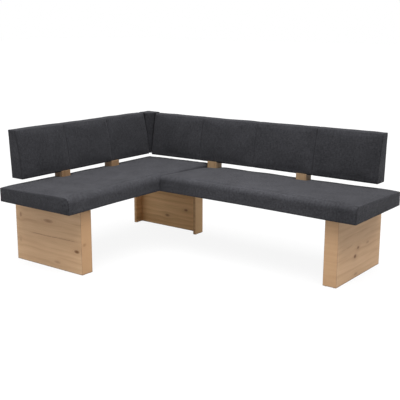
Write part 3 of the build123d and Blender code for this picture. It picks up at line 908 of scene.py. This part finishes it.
def carrySwell(name, tube, stations, foot, over, sides):
    # the blown form's moves, read at the finished grid's shares of each side
    # the tube takes the part of them that doesn't point into the pad
    job = swellRun["jobs"][name]
    count, wide, high = job["size"]
    onTube, *onCaps = (job["moved"][numbers] for numbers in job["numbers"])
    spots = loopOf(foot * wide, wide + sides * high, wide + high + over * wide, 2 * wide + high + sides * high)
    rows, columns = cubicRows(stations * (count - 1), count), cubicRows(spots, 2 * (wide + high), True)
    acrossWide, acrossHigh = cubicRows(foot * wide, wide + 1), cubicRows(sides * high, high + 1)
    onTube = np.einsum("ai,ijk,tj->atk", rows, onTube, columns, optimize=True)
    onCaps = [np.einsum("pi,ijk,qj->pqk", acrossWide, patch, acrossHigh, optimize=True) for patch in onCaps]
    normals = tubeNormals(tube)
    inward = np.minimum((onTube * normals).sum(-1, keepdims=True), 0)
    return tube + (onTube - inward * normals), onCaps


# seats
seat = {
    "foot": 0.4000,
    "frontTop": 0.4985,
    "crown": 0.0040,
    "crownReach": 0.08,
    "endFlat": 0.85,
    "jointRadius": 0.014,
    "jointReach": 0.05,
    "rearRadius": 0.0050,
    "margin": 0.0004,  # the form starts this much smaller at front and rear
    "fixedDepth": 0.400,  # depth lines stay straight behind this
    "frameInset": 0.008,
    "frameGap": 0.0004,
    "deckTop": 0.4526,
    "postHalf": 0.035,
    "postDepth": (0.008, 0.078),
    "postTuck": 0.0140,  # how far the cloth is pulled down round a post
    "tuckReach": 0.0120,
    "endDraw": 0.0016,
    "endReach": 0.02,
    "coarseDraw": 0.002,  # the same for the trial form's end edges
    "coarseReach": 0.004,
    "seamPlace": 0.0022,
    "seamDepth": 0.0012,
    "seamHalf": 0.0013,
    "seamShade": 0.55,
    "paintedFootShade": 0.55,  # painted shade where the cloth turns under
    "paintedFootShadeHalf": 0.006,
    "drawWeights": (0.10, 1.0, 1.0, 0.12),  # foot, front, top and rear
    "rolling": 0.0010,  # soft unevenness
    "rollingWaves": (0.16, 0.42),
    "pucker": 0.0006,  # beside the end seams
    "puckerWaves": (0.018, 0.055),
    "puckerReach": 0.016,
    "puckerStretch": 0.25,
    "wide": 70,
    "high": 18,
    "evenFrom": 0.014,  # even stations start this far from the ends
    "evenCount": 172,
    "endSteps": (0, 0.4, 0.8, 1.2, 1.6, 2.0, 2.4, 2.8, 3.3, 3.9, 4.7, 5.8, 7.0, 8.5, 10.5),  # mm
    "endHeight": 0.09,
    "coarseWide": 46,
    "coarseHigh": 12,
    "coarseCount": 116,
    "heldFront": (0.9, 0.7, 0.4),
    "heldRear": (0.3, 0.5, 0.7, 0.8, 0.9, 0.95),
    "heldCaps": 0.15,
    "pressure": 4.0,
    "most": 0.008,
    "fill": 0.9,
}

# edgeLine: height of the rear edge at places along the seat
# flare: how far the front reaches out at the free end, over which length, and which end that is
seats = {
    "short_seat": {
        "place": onShortWing,
        "ends": (-0.0085, 1.3705),
        "edgeLine": ((0.0, 1.0, 1.3, 1.37), (0.4840, 0.4842, 0.4850, 0.4865)),
        "frontRadius": 0.042,
        "flare": (0.014, 0.45, 0),
        "edgeRadius": (0.0085, 0.0035),
        "jointFrom": 0.795,
        "posts": (0.462, 0.922),
        "seed": 21,
    },
    "long_seat": {
        "place": onLongWing,
        "ends": (0.0006, 1.3755),
        "edgeLine": ((0.0, 0.25, 0.6, 1.2, 1.37), (0.4780, 0.4785, 0.4800, 0.4815, 0.4838)),
        "frontRadius": 0.029,
        "flare": (0.015, 0.80, 1),
        "edgeRadius": (0.0070, 0.0085),
        "jointFrom": None,
        "posts": (0.050, 0.745),
        "seed": 34,
    },
}


def seatRadius(spec, stations):
    # the front edge's radius, which is smaller where the other seat meets it
    if spec["jointFrom"] is None:
        return np.full(len(stations), spec["frontRadius"])
    share = smooth((stations - spec["jointFrom"]) / seat["jointReach"])
    return fromTo((spec["frontRadius"], seat["jointRadius"]), share)


def seatCrown(spec, stations):
    # the crown flattens towards the ends
    flat = seat["endFlat"] * fade(toEnd(stations, *spec["ends"]), seat["crownReach"])
    return seat["crown"] * (1 - flat)


def seatDeep(spec, stations):
    # front line: straight, reaching out smoothly towards the free end
    amount, reach, end = spec["flare"]
    start, stop = spec["ends"]
    share = smooth((stations - start, stop - stations)[end] / reach)
    return bench["seatDepth"] - seat["margin"] + amount * (1 - share)


def seatLoop(spec, stations, footLines, topLines, sideShares):
    # flat foot, upright front with a quarter round, crowned top, rear with a small quarter round
    radius, crown = seatRadius(spec, stations)[:, None], seatCrown(spec, stations)[:, None]
    edgeTop = np.interp(stations, *spec["edgeLine"])[:, None]
    deep, rear, base = seatDeep(spec, stations)[:, None], seat["margin"], seat["foot"]
    ones = np.ones_like(radius)
    cavity = bench["seatDepth"] - seat["frameInset"] + seat["frameGap"]
    stretch = (deep - cavity) / (footLines[-1] - cavity)
    footDepth = np.where(footLines > cavity, cavity + (footLines - cavity) * stretch, ones * footLines)
    footHeight = ones * np.full_like(footLines, base)

    straight = seat["frontTop"] - base - radius
    run = sideShares * (straight + radius * math.pi / 2)
    angle = np.clip((run - straight) / radius, 0, math.pi / 2)
    frontDepth = deep - radius + radius * np.cos(angle)
    frontHeight = np.where(run < straight, base + run, seat["frontTop"] - radius + radius * np.sin(angle))

    fixed = seat["fixedDepth"]
    stretch = (deep - radius - fixed) / (topLines[-1] - fixed)
    topDepth = np.where(topLines < fixed, topLines, fixed + (topLines - fixed) * stretch)
    share = (topDepth - topLines[0]) / (deep - radius - topLines[0])
    topHeight = edgeTop + (seat["frontTop"] - edgeTop) * share + 4 * crown * share * (1 - share)

    small = seat["rearRadius"]
    quarter = small * math.pi / 2
    fall = sideShares * (quarter + edgeTop - small - base)
    turn = np.clip(fall / small, 0, math.pi / 2)
    rearDepth = ones * (rear + small - small * np.sin(turn))
    rounded, straightDown = edgeTop - small + small * np.cos(turn), edgeTop - small - (fall - quarter)
    rearHeight = ones * np.where(fall < quarter, rounded, straightDown)
    depth = loopOf(footDepth, frontDepth, topDepth[:, ::-1], rearDepth)
    return depth, loopOf(footHeight, frontHeight, topHeight[:, ::-1], rearHeight)


def drawSeatIn(depth, height, amount):
    # shrinks each loop towards the middle of its foot
    middle = bench["seatDepth"] / 2
    tall = seat["frontTop"] - seat["foot"]
    newDepth = middle + (depth - middle) * (1 - amount / middle)
    return newDepth, seat["foot"] + (height - seat["foot"]) * (1 - amount / tall)


def seatLines(spec, wide, extraFoot=(), extraTop=()):
    deep, rear = bench["seatDepth"] - seat["margin"], seat["margin"]
    regular = wide + 1 - len(extraFoot)
    foot = sortedWith(np.linspace(rear, deep, regular), extraFoot)
    top = sortedWith(np.linspace(rear + seat["rearRadius"], deep - spec["frontRadius"], regular), extraTop)
    return foot, top


def swellSeat(name):
    spec, wide, high = seats[name], seat["coarseWide"], seat["coarseHigh"]
    stations = np.linspace(*spec["ends"], seat["coarseCount"])
    depth, height = seatLoop(spec, stations, *seatLines(spec, wide), np.linspace(0, 1, high + 1))
    fromEnd = toEnd(stations, *spec["ends"])
    drawn = seat["coarseDraw"] * fade(fromEnd, seat["coarseReach"])
    drawn = drawn + seat["endDraw"] * fade(fromEnd, seat["endReach"])
    depth, height = drawSeatIn(depth, height, sideDraw(drawn, seat, wide, high))
    held = np.zeros(depth.shape)
    held[:, : wide + 1] = 1
    held[:, wide + 1 : wide + 4] = seat["heldFront"]
    held[:, -6:] = seat["heldRear"]
    held[[0, -1]] = 1
    addSwell(name, seat, spec["place"](stations[:, None], depth, height), held, wide, high)


def buildSeat(name):
    spec, wide, high = seats[name], seat["wide"], seat["high"]
    length, deep = bench["seatLength"], bench["seatDepth"]
    start, stop = spec["ends"]
    inset, tiny = seat["frameInset"], pads["tiny"]
    rearPost, frontPost = seat["postDepth"]
    extraTop = (rearPost + 2 * tiny, rearPost + 3 * tiny, frontPost, frontPost + tiny)
    foot, top = seatLines(spec, wide, bothEdges(inset, deep - inset), extraTop)
    sides = np.linspace(0, 1, high + 1)
    ends = np.array(seat["endSteps"]) / 1000
    posts = [bothEdges(middle - seat["postHalf"], middle + seat["postHalf"]) for middle in spec["posts"]]
    even = np.linspace(start + seat["evenFrom"], stop - seat["evenFrom"], seat["evenCount"])
    stations = sortedWith(even, start + ends, stop - ends, *posts, bothEdges(inset, length - inset))
    fromStart, fromEnd = stations - start, toEnd(stations, start, stop)
    depth, height = seatLoop(spec, stations, foot, top, sides)
    drawn = endShape(fromEnd, np.where(fromStart < stop - stations, *spec["edgeRadius"]), seat)
    drawn = drawn + seat["endDraw"] * fade(fromEnd, seat["endReach"])
    depth, height = drawSeatIn(depth, height, sideDraw(drawn, seat, wide, high))
    tube = spec["place"](stations[:, None], depth, height)
    footShare, topShare = ((lines - lines[0]) / (lines[-1] - lines[0]) for lines in (foot, top))
    tube, capMoves = carrySwell(name, tube, fromStart / (stop - start), footShare, 1 - topShare[::-1], sides)

    # fine shape: soft unevenness, and puckers along the end seams
    around = depth.shape[1]
    side = np.arange(around)
    onFoot, onTop = side <= wide, (side >= wide + high) & (side < 2 * wide + high)
    rise = np.interp(side, [0, wide, wide + 4, around - 8, around], [0, 0, 1, 1, 0])
    path, nearness = loopPath(tube, len(tube) // 2), fade(fromEnd, seat["puckerReach"])
    lift = roughLift(seat, spec["seed"], stations, depth + height, path, nearness) * rise
    tube = tube + tubeNormals(tube) * lift[..., None]
    caps = movedCaps(tube, capMoves, wide, high)

    # the cloth is tucked down round each post, and the frame fills the hollow underneath
    for middle in spec["posts"]:
        outAlong = np.clip(np.abs(stations - middle) - seat["postHalf"], 0, None)[:, None]
        outDepth = np.clip(np.maximum(rearPost - depth, depth - frontPost), 0, None)
        away = np.hypot(outAlong, outDepth)
        tube[..., 2] -= np.where(onTop, seat["postTuck"] * fade(away, seat["tuckReach"]), 0)
        tube[..., 2] = np.where(onTop & (away < tiny / 2), seat["deckTop"], tube[..., 2])
    hollow = between(stations, inset, length - inset)[:, None] & onFoot & between(depth, inset, deep - inset)
    tube[..., 2] = np.where(hollow, seat["deckTop"] - seat["frameGap"], tube[..., 2])

    # dark end seams, and painted shade where the cloth turns under at the foot
    atFootPaintedShade = seat["paintedFootShade"] * hill(height - seat["foot"], seat["paintedFootShadeHalf"])
    seam = np.where(onFoot, 0, np.maximum(endShade(fromEnd, seat)[:, None], atFootPaintedShade))
    flatCap = foot, seat["foot"] + seat["endHeight"] * sides
    padPiece(name, tube, caps, flatMap(stations, path, tube), flatCap, seam, wide, high)


# backs
back = {
    "foot": 0.5225,
    "top": 0.8120,
    "rearFoot": -0.0320,
    "frontFoot": 0.0702,
    "rearTop": -0.0448,
    "frontTop": 0.0142,
    "belly": 0.0075,
    "radius": 0.0085,
    "footRadius": 0.0050,
    "rearRadius": 0.0040,
    "frameInset": 0.008,
    "frameTop": 0.7945,
    "hollowFoot": (-0.0297, 0.0492),
    "hollowTop": (-0.0415, -0.0030),
    "edgeRadius": 0.0060,
    "endDraw": 0.0014,
    "endReach": 0.015,
    "innerDraw": 0.0030,  # more at the end that meets the corner filler
    "innerReach": 0.022,
    "innerShear": 0.0060,  # the inner ends stand back this much at the foot
    "shearReach": 0.04,
    "shiftReach": 0.25,
    "seamPlace": 0.0019,
    "seamDepth": 0.0013,
    "seamHalf": 0.0012,
    "seamShade": 0.7,
    "sewnShadeHalf": 0.0016,
    # painted shade where the inner end meets the corner filler
    "paintedInnerShade": 0.9,
    "paintedInnerShadeHalf": 0.0045,
    "paintedFootShade": 0.60,  # painted shade where the cloth turns under
    "paintedFootShadeHalf": 0.008,
    "shade": 0.24,  # painted shade over the whole cover
    "drawWeights": (0.3, 1.0, 0.8, 0.25),  # foot, front, top and rear
    "grooveDepth": 0.0042,
    "grooveHalf": 0.0075,
    "grooveShares": (0, 0.3, 1, 1, 0.45, 0.3, 0),  # of its depth, at turns of the loop
    "grooveShaded": 0.28,  # shaded where its share is larger
    "freeShares": (0, 0, 1, 1, 0.3, 0),  # of the unevenness, at turns of the loop
    "rolling": 0.0008,  # soft unevenness
    "rollingWaves": (0.10, 0.30),
    "pucker": 0.0007,  # beside the seams
    "puckerWaves": (0.022, 0.060),
    "puckerReach": (0.018, 0.020),  # from the ends and from the sewn lines
    "puckerStretch": 0.3,
    "ear": 0.0020,  # the free end's top corners stand out by this
    "earSize": (0.014, 0.022),
    "earOut": 0.8,
    "earUp": 0.45,
    "wide": 18,
    "high": 42,
    "evenFrom": 0.010,  # even stations start this far from the ends
    "evenStep": 0.0085,
    "seamRoom": 0.0155,
    "endSteps": (0, 0.4, 0.8, 1.2, 1.6, 2.0, 2.4, 2.9, 3.5, 4.3, 5.2, 6.4),  # mm
    "seamSteps": (0, 0.5, 1.1, 1.8, 2.7, 3.9, 5.4, 7.4, 10.0, 13.5),  # mm
    "endHeight": 0.287,
    "coarseWide": 9,
    "coarseHigh": 28,
    "coarsePanel": 38,
    "heldCaps": 0.3,
    "pressure": 4.0,
    "most": 0.007,
    "fill": 0.85,
}

# topLine and footLine: heights of the top and foot edges at places along the back
# rearShift: the top's rear edge leans this much further back at the free end
backs = {
    "short_back": {
        "place": onShortWing,
        "from": 0.1140,
        "length": 1.1855,
        "panels": 3,
        "freeEnd": 0,
        "rearShift": 0.0040,
        "topLine": ((0.0, 0.25, 0.60, 1.19), (0.8165, 0.8147, 0.8125, 0.8135)),
        "footLine": ((0.0, 0.30, 0.80, 1.19), (0.5205, 0.5210, 0.5225, 0.5220)),
        "seed": 47,
    },
    "long_back": {
        "place": onLongWing,
        "from": -0.5045,
        "length": 1.7605,
        "panels": 4,
        "freeEnd": 1,
        "rearShift": 0.0,
        "topLine": ((0.0, 0.40, 0.90, 1.35, 1.76), (0.8088, 0.8080, 0.8108, 0.8150, 0.8185)),
        "footLine": ((0.0, 0.15, 0.40, 0.80, 1.76), (0.5160, 0.5175, 0.5200, 0.5212, 0.5215)),
        "seed": 58,
    },
}


def pathAt(points, shares):
    # points along a broken line at shares of its length
    points = np.asarray(points)
    run = runLength(points)
    return np.stack([np.interp(shares * run[-1], run, points[:, axis]) for axis in (0, 1)], -1)


def backLean():
    return (back["frontTop"] - back["frontFoot"]) / (back["top"] - back["foot"])


def backLoop(footLines, topShares, sideShares):
    # one slice: flat foot, leaning bellied front and straight rear, with rounded edges
    radius, footRadius, rearRadius = back["radius"], back["footRadius"], back["rearRadius"]
    foot, top, lean = back["foot"], back["top"], backLean()
    turn, rise = np.linspace(0, math.pi / 2, 9), np.linspace(0, 1, 25)
    low, high = foot + footRadius, top - radius
    lowFront, highFront = back["frontFoot"] + lean * footRadius, back["frontTop"] - lean * radius
    footArc = together(lowFront - footRadius + footRadius * np.sin(turn), low - footRadius * np.cos(turn))
    bulge = 4 * back["belly"] * rise * (1 - rise)
    face = together(fromTo((lowFront, highFront), rise) + bulge, fromTo((low, high), rise))
    topArc = together(highFront - radius + radius * np.cos(turn), high + radius * np.sin(turn))
    front = pathAt(np.concatenate([footArc, face[1:-1], topArc]), sideShares)
    rearHigh = fromTo((back["rearTop"], back["rearFoot"]), rearRadius / (top - foot))
    rearArc = together(rearHigh + rearRadius * (1 - np.sin(turn)), top - rearRadius * (1 - np.cos(turn)))
    rear = pathAt(np.concatenate([rearArc, [[back["rearFoot"], foot]]]), sideShares)
    over = fromTo((front[-1], rear[0]), topShares[:, None])
    return loopOf(together(footLines, foot).T, front.T, over.T, rear.T)


def backFootLines(wide, extra=()):
    end = back["frontFoot"] + (backLean() - 1) * back["footRadius"]
    return sortedWith(np.linspace(back["rearFoot"], end, wide + 1 - len(extra)), extra)


def fromFree(spec, stations):
    return stations if spec["freeEnd"] == 0 else spec["length"] - stations


def fromInner(spec, stations):
    return spec["length"] - stations if spec["freeEnd"] == 0 else stations


def drawBackIn(spec, stations, loop, amount):
    # shrinks each loop towards the middle of its foot, leaving the lean as it is, and sets its heights
    depth, height = loop[0][None, :], loop[1][None, :]
    tops, feet = (np.interp(stations, *spec[key])[:, None] for key in ("topLine", "footLine"))
    shift = spec["rearShift"] * fade(fromFree(spec, stations), back["shiftReach"])[:, None]
    tall = back["top"] - back["foot"]
    share = (height - back["foot"]) / tall
    rear, front = (fromTo((back[key + "Foot"], back[key + "Top"]), share) for key in ("rear", "front"))
    middle, half = (rear + front) / 2, (front - rear) / 2
    towardsRear = np.clip((middle - depth) / half, 0, 1)
    newDepth = middle + (depth - middle) * (1 - amount / half) - shift * share * towardsRear
    return newDepth, feet + share * (tops - feet) * (1 - amount / tall)


def backDraw(spec, stations):
    # how far the ends are drawn in, without their edges' rounding
    inner = back["innerDraw"] * fade(fromInner(spec, stations), back["innerReach"])
    return back["endDraw"] * fade(toEnd(stations, 0, spec["length"]), back["endReach"]) + inner


def swellBack(name):
    spec, wide, high = backs[name], back["coarseWide"], back["coarseHigh"]
    stations = np.linspace(0, spec["length"], spec["panels"] * back["coarsePanel"] + 1)
    loop = backLoop(backFootLines(wide), np.linspace(0, 1, wide + 1), np.linspace(0, 1, high + 1))
    depth, height = drawBackIn(spec, stations, loop, sideDraw(backDraw(spec, stations), back, wide, high))
    held = np.zeros(depth.shape)
    held[:, : wide + 1] = 1
    held[:, 2 * wide + high + 2 :] = 1  # the rear board
    held[[0, -1]] = 1
    held[:: back["coarsePanel"], wide : wide + high + 3] = 1  # the sewn lines
    addSwell(name, back, spec["place"](spec["from"] + stations[:, None], depth, height), held, wide, high)


def backStations(spec):
    # even stations, and closer ones at the ends, the sewn lines and the frame's ends
    length, inset = spec["length"], back["frameInset"]
    sewn = length / spec["panels"] * np.arange(1, spec["panels"])
    ends, steps = np.array(back["endSteps"]) / 1000, np.array(back["seamSteps"]) / 1000
    nearSewn = (sewn[:, None] + np.concatenate([steps, -steps[1:]])).ravel()
    even = np.linspace(back["evenFrom"], length - back["evenFrom"], int(length / back["evenStep"]))
    even = even[np.abs(even[:, None] - sewn).min(1) > back["seamRoom"]]
    return sortedWith(even, ends, length - ends, nearSewn, bothEdges(inset, length - inset)), sewn


def buildBack(name):
    spec, wide, high, length = backs[name], back["wide"], back["high"], backs[name]["length"]
    foot = backFootLines(wide, bothEdges(*back["hollowFoot"]))
    over, sides = np.linspace(0, 1, wide + 1), np.linspace(0, 1, high + 1)
    stations, sewn = backStations(spec)
    fromEnd = toEnd(stations, 0, length)
    drawn = endShape(fromEnd, back["edgeRadius"], back) + backDraw(spec, stations)
    depth, height = drawBackIn(spec, stations, backLoop(foot, over, sides), sideDraw(drawn, back, wide, high))
    tube = spec["place"](spec["from"] + stations[:, None], depth, height)
    tube, capMoves = carrySwell(name, tube, stations / length, (foot - foot[0]) / (foot[-1] - foot[0]), over, sides)

    # sewn lines: a cusp pressed into the front that runs out over the top, with puckers beside it
    around = depth.shape[1]
    side = np.arange(around)
    onFoot = side <= wide
    turns = [0, wide, wide + 3, wide + high - 3, wide + high + 2, 2 * wide + high, around]
    front = np.interp(side, turns, back["grooveShares"])
    turns = [0, wide, wide + 4, 2 * wide + high, 2 * wide + high + 5, around]
    free = np.interp(side, turns, back["freeShares"])
    fromSewn = np.abs(stations[:, None] - sewn).min(1)
    groove = back["grooveDepth"] * fade(fromSewn, back["grooveHalf"])[:, None] * front
    path = loopPath(tube, len(tube) // 2)
    nearness = fade(fromEnd, back["puckerReach"][0]) + fade(fromSewn, back["puckerReach"][1])
    lift = roughLift(back, spec["seed"], stations, path[None, :], path, nearness) * free - groove
    tube = tube + tubeNormals(tube) * lift[..., None]

    # the inner end stands back at the foot, and the free end's top corners stand out a little
    down = back["top"] - height
    lowShare = np.clip(down / (back["top"] - back["foot"]), 0, 1)
    toInner, toFree = fromInner(spec, stations), fromFree(spec, stations)
    shear = back["innerShear"] * lowShare * fade(toInner, back["shearReach"])[:, None] * (2 * spec["freeEnd"] - 1)
    ear = hill(toFree, back["earSize"][0])[:, None] * hill(down, back["earSize"][1]) * back["ear"]
    outward = spec["place"](1.0, 0.0, 0.0) - spec["place"](0.0, 0.0, 0.0)
    wayOut = np.where(stations < length / 2, -1.0, 1.0)[:, None, None] * outward
    tube = tube + shear[..., None] * outward
    tube = tube + ear[..., None] * (wayOut * back["earOut"] + np.array([0, 0, back["earUp"]]))
    caps = movedCaps(tube, capMoves, wide, high)

    # the frame fills the hollow underneath
    inset, (rearHollow, frontHollow) = back["frameInset"], back["hollowFoot"]
    hollow = between(stations, inset, length - inset)[:, None] & onFoot & between(depth, rearHollow, frontHollow)
    share = (depth - rearHollow) / (frontHollow - rearHollow)
    roof = spec["place"](spec["from"] + stations[:, None], fromTo(back["hollowTop"], share), back["frameTop"])
    tube = np.where(hollow[..., None], roof, tube)

    # dark sewn and end seams; painted shade at the inner end, where the cloth turns under, and over the whole cover
    atSewn = hill(fromSewn, back["sewnShadeHalf"])[:, None] * np.where(front > back["grooveShaded"], 1, 0)
    atInnerPaintedShade = back["paintedInnerShade"] * hill(toInner, back["paintedInnerShadeHalf"])[:, None]
    low = height - np.interp(stations, *spec["footLine"])[:, None]
    atFootPaintedShade = back["paintedFootShade"] * hill(low, back["paintedFootShadeHalf"])
    atEdges = np.where(onFoot, 0, np.maximum(np.maximum(endShade(fromEnd, back)[:, None], atInnerPaintedShade), atFootPaintedShade))
    seam = np.maximum(np.maximum(atSewn, atEdges), back["shade"])
    flatCap = foot, back["endHeight"] * sides
    padPiece(name, tube, caps, flatMap(stations, path, tube), flatCap, seam, wide, high)


# corner filler: a square column against both backs, its front corner cut off by a face that widens upwards
corner = {
    "foot": 0.5245,
    "top": 0.8130,
    "rearLine": (-0.0315, -0.0440),  # at the foot and at the top, as for the cut
    "side": 0.0696,
    "cut": (0.0200, 0.0530),
    "coreInset": 0.0105,
    "coreTop": 0.7993,
    "topRound": 0.0055,
    "topRise": 0.0015,
    "shade": 0.34,  # painted shade over the whole cover, as on the backs
    # painted shade along the edges where the filler meets the backs
    "paintedEdgeShade": 0.9,
    "paintedEdgeShadeHalf": 0.0045,
    "rolling": 0.0006,
    "rollingWaves": (0.05, 0.14),
    "seed": 71,
    "mapRing": 10,  # the ring that the cloth's map is measured on
    "tall": 0.287,  # on the cloth's map
    "innerMap": (-0.28, -0.01),
    "closing": 0.008,
    "topMap": 0.115,
    "sides": 14,
    "coarseCount": 34,
    "cutHeld": (1.55, 2.45),  # the cut face's part of the loop, in sides
    "heldTop": 0.3,
    "heldCaps": 0.2,
    "pressure": 4.0,
    "most": 0.005,
    "fill": 0.85,
}


def cornerRings(shares, inset):
    # plan slices: from the rear corner along one side, up to the middle of the cut face, and back by the other side
    # inside is the way on the cut face from its nearer edge, and far on the rear sides
    shares, inset = np.broadcast_arrays(np.asarray(shares, float)[:, None], np.reshape(inset, (-1, 1)))
    rear, side = fromTo(corner["rearLine"], shares) + inset, corner["side"] - inset
    cut = corner["side"] - fromTo(corner["cut"], shares) - inset * (math.sqrt(2) - 1)
    middle = (side + cut) / 2
    t = np.linspace(0, 1, corner["sides"] + 1)[:-1]
    toCut, cutRun = cut - rear, (side - cut) / math.sqrt(2)
    bend = toCut / (toCut + cutRun)  # share of the second side at which the cut face starts
    up, on = np.clip(t / bend, 0, 1), np.clip((t - bend) / (1 - bend), 0, 1)
    off, down = np.clip(t / (1 - bend), 0, 1), np.clip((t - (1 - bend)) / bend, 0, 1)
    thirdX = middle + (cut - middle) * off + (rear - cut) * down
    x = [rear + (side - rear) * t, side + (middle - side) * on, thirdX, rear + 0 * t]
    secondY = rear + toCut * up + (middle - cut) * on
    y = [rear + 0 * t, secondY, middle + (side - middle) * off, side + (rear - side) * t]
    far = cutRun + 0 * t
    return [np.concatenate(parts, 1) for parts in (x, y, [far, on * far, (1 - off) * far, far])]


def soften(values):
    # rounds the corners of closed rows
    return 0.25 * np.roll(values, 1, 1) + 0.5 * values + 0.25 * np.roll(values, -1, 1)


def cornerTube():
    # rings up to the rounded top, where they are drawn in
    tall, count = corner["top"] - corner["foot"], corner["coarseCount"]
    turn = np.linspace(0, math.pi / 2, 7)[1:]
    rounded = 1 - (corner["topRound"] / tall) * (1 - np.sin(turn))
    shares = np.concatenate([np.linspace(0, 1 - corner["topRound"] / tall, count), rounded])
    drawn = np.concatenate([np.zeros(count), corner["topRound"] * (1 - np.cos(turn))])
    x, y, _ = cornerRings(shares, drawn)
    return inCorner((corner["foot"] + tall * shares)[:, None], soften(x), soften(y)), shares


def swellCorner():
    sides = corner["sides"]
    tube, _ = cornerTube()
    held = np.ones(tube.shape[:2])
    held[2:, slice(*(int(place * sides) for place in corner["cutHeld"]))] = 0
    held[-4:] = corner["heldTop"]
    addSwell("corner", corner, tube, held, sides, sides)


def buildCorner():
    sides, job = corner["sides"], swellRun["jobs"]["corner"]
    tube, shares = cornerTube()
    tubeMoves, _, lastMoves = (job["moved"][numbers] for numbers in job["numbers"])
    tube = tube + tubeMoves
    path = loopPath(tube, corner["mapRing"])
    level = shares * corner["tall"]
    rolling = waves(level[:, None], path[None, :], corner["seed"], *corner["rollingWaves"])
    tube = tube + tubeNormals(tube) * (corner["rolling"] * rolling)[..., None]
    last = capPoints(tube[-1], sides, sides) + lastMoves
    last[1:-1, 1:-1, 2] += corner["topRise"]

    # the core's hollow: up the inside of the foot to a flat roof
    roofShare = (corner["coreTop"] - corner["foot"]) / (corner["top"] - corner["foot"])
    innerX, innerY, _ = cornerRings([roofShare, 0.0], corner["coreInset"])
    inner = inCorner(np.array([corner["coreTop"], corner["foot"]])[:, None], innerX, innerY)
    whole = np.concatenate([inner, tube])
    caps = capPoints(whole[0], sides, sides), last
    levels = np.append(corner["innerMap"], level)
    flatTube = together(np.append(path, path[-1] + corner["closing"])[None, :], levels[:, None])
    grid = np.linspace(0, corner["topMap"], sides + 1)
    inside = cornerRings(np.concatenate([[0, 0], np.clip(shares, 0, 1)]), 0.0)[2]
    # painted shade along the filler's edges against the backs, and over its whole cover
    seam = np.maximum(corner["paintedEdgeShade"] * hill(inside, corner["paintedEdgeShadeHalf"]), corner["shade"])
    padPiece("corner", whole, caps, flatTube, (grid, grid), seam, sides, sides)


# linings: thin cloth stretched under the seats and the backs
underSeat = {"depth": (0.0086, 0.5664), "height": 0.4006, "on": "front_rail"}
underBack = {"depth": (-0.026, 0.053), "height": 0.5257, "on": "bottom_rail"}
linings = {
    "short_seat": {"place": onShortWing, "along": (0.0086, 1.3614), **underSeat},
    "long_seat": {"place": onLongWing, "along": (0.0086, 1.3614), **underSeat},
    "short_back": {"place": onShortWing, "along": (0.122, 1.293), **underBack},
    "long_back": {"place": onLongWing, "along": (-0.498, 1.248), **underBack},
}
liningGrid = {
    "along": 90,
    "depth": 36,
    "thickness": 0.0004,
    "rolling": 0.00018,
    "rollingWaves": (0.05, 0.2),
    "seed": 83,
}


def buildLining(name):
    # a flat grid with a shallow unevenness, given its thickness by Solidify
    spec = linings[name]
    lines = [np.linspace(*spec[key], liningGrid[key]) for key in ("along", "depth")]
    along, depth = np.meshgrid(*lines, indexing="ij")
    rolling = waves(along, depth, liningGrid["seed"], *liningGrid["rollingWaves"])
    points = spec["place"](along, depth, spec["height"] + liningGrid["rolling"] * rolling)
    mesh = bpy.data.meshes.new(name + "_lining_cloth")
    mesh.from_pydata(points.reshape(-1, 3), [], cells(np.arange(along.size).reshape(along.shape)))
    mesh.polygons.foreach_set("use_smooth", np.ones(len(mesh.polygons), bool))
    mesh.materials.append(liningCloth)
    piece = toScene(name + "_lining_cloth", mesh)
    wall = piece.modifiers.new("thickness", "SOLIDIFY")
    wall.thickness, wall.offset = liningGrid["thickness"], 0.0
    size = [high - low for low, high in (spec["depth"], spec["along"])]
    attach(piece, "root")
    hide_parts(name + "_lining")


for seatName in seats:
    swellSeat(seatName)
for backName in backs:
    swellBack(backName)
swellCorner()
runSwell()
for seatName in seats:
    buildSeat(seatName)
for backName in backs:
    buildBack(backName)
buildCorner()
for liningName in linings:
    buildLining(liningName)
print("upholstery and linings made")
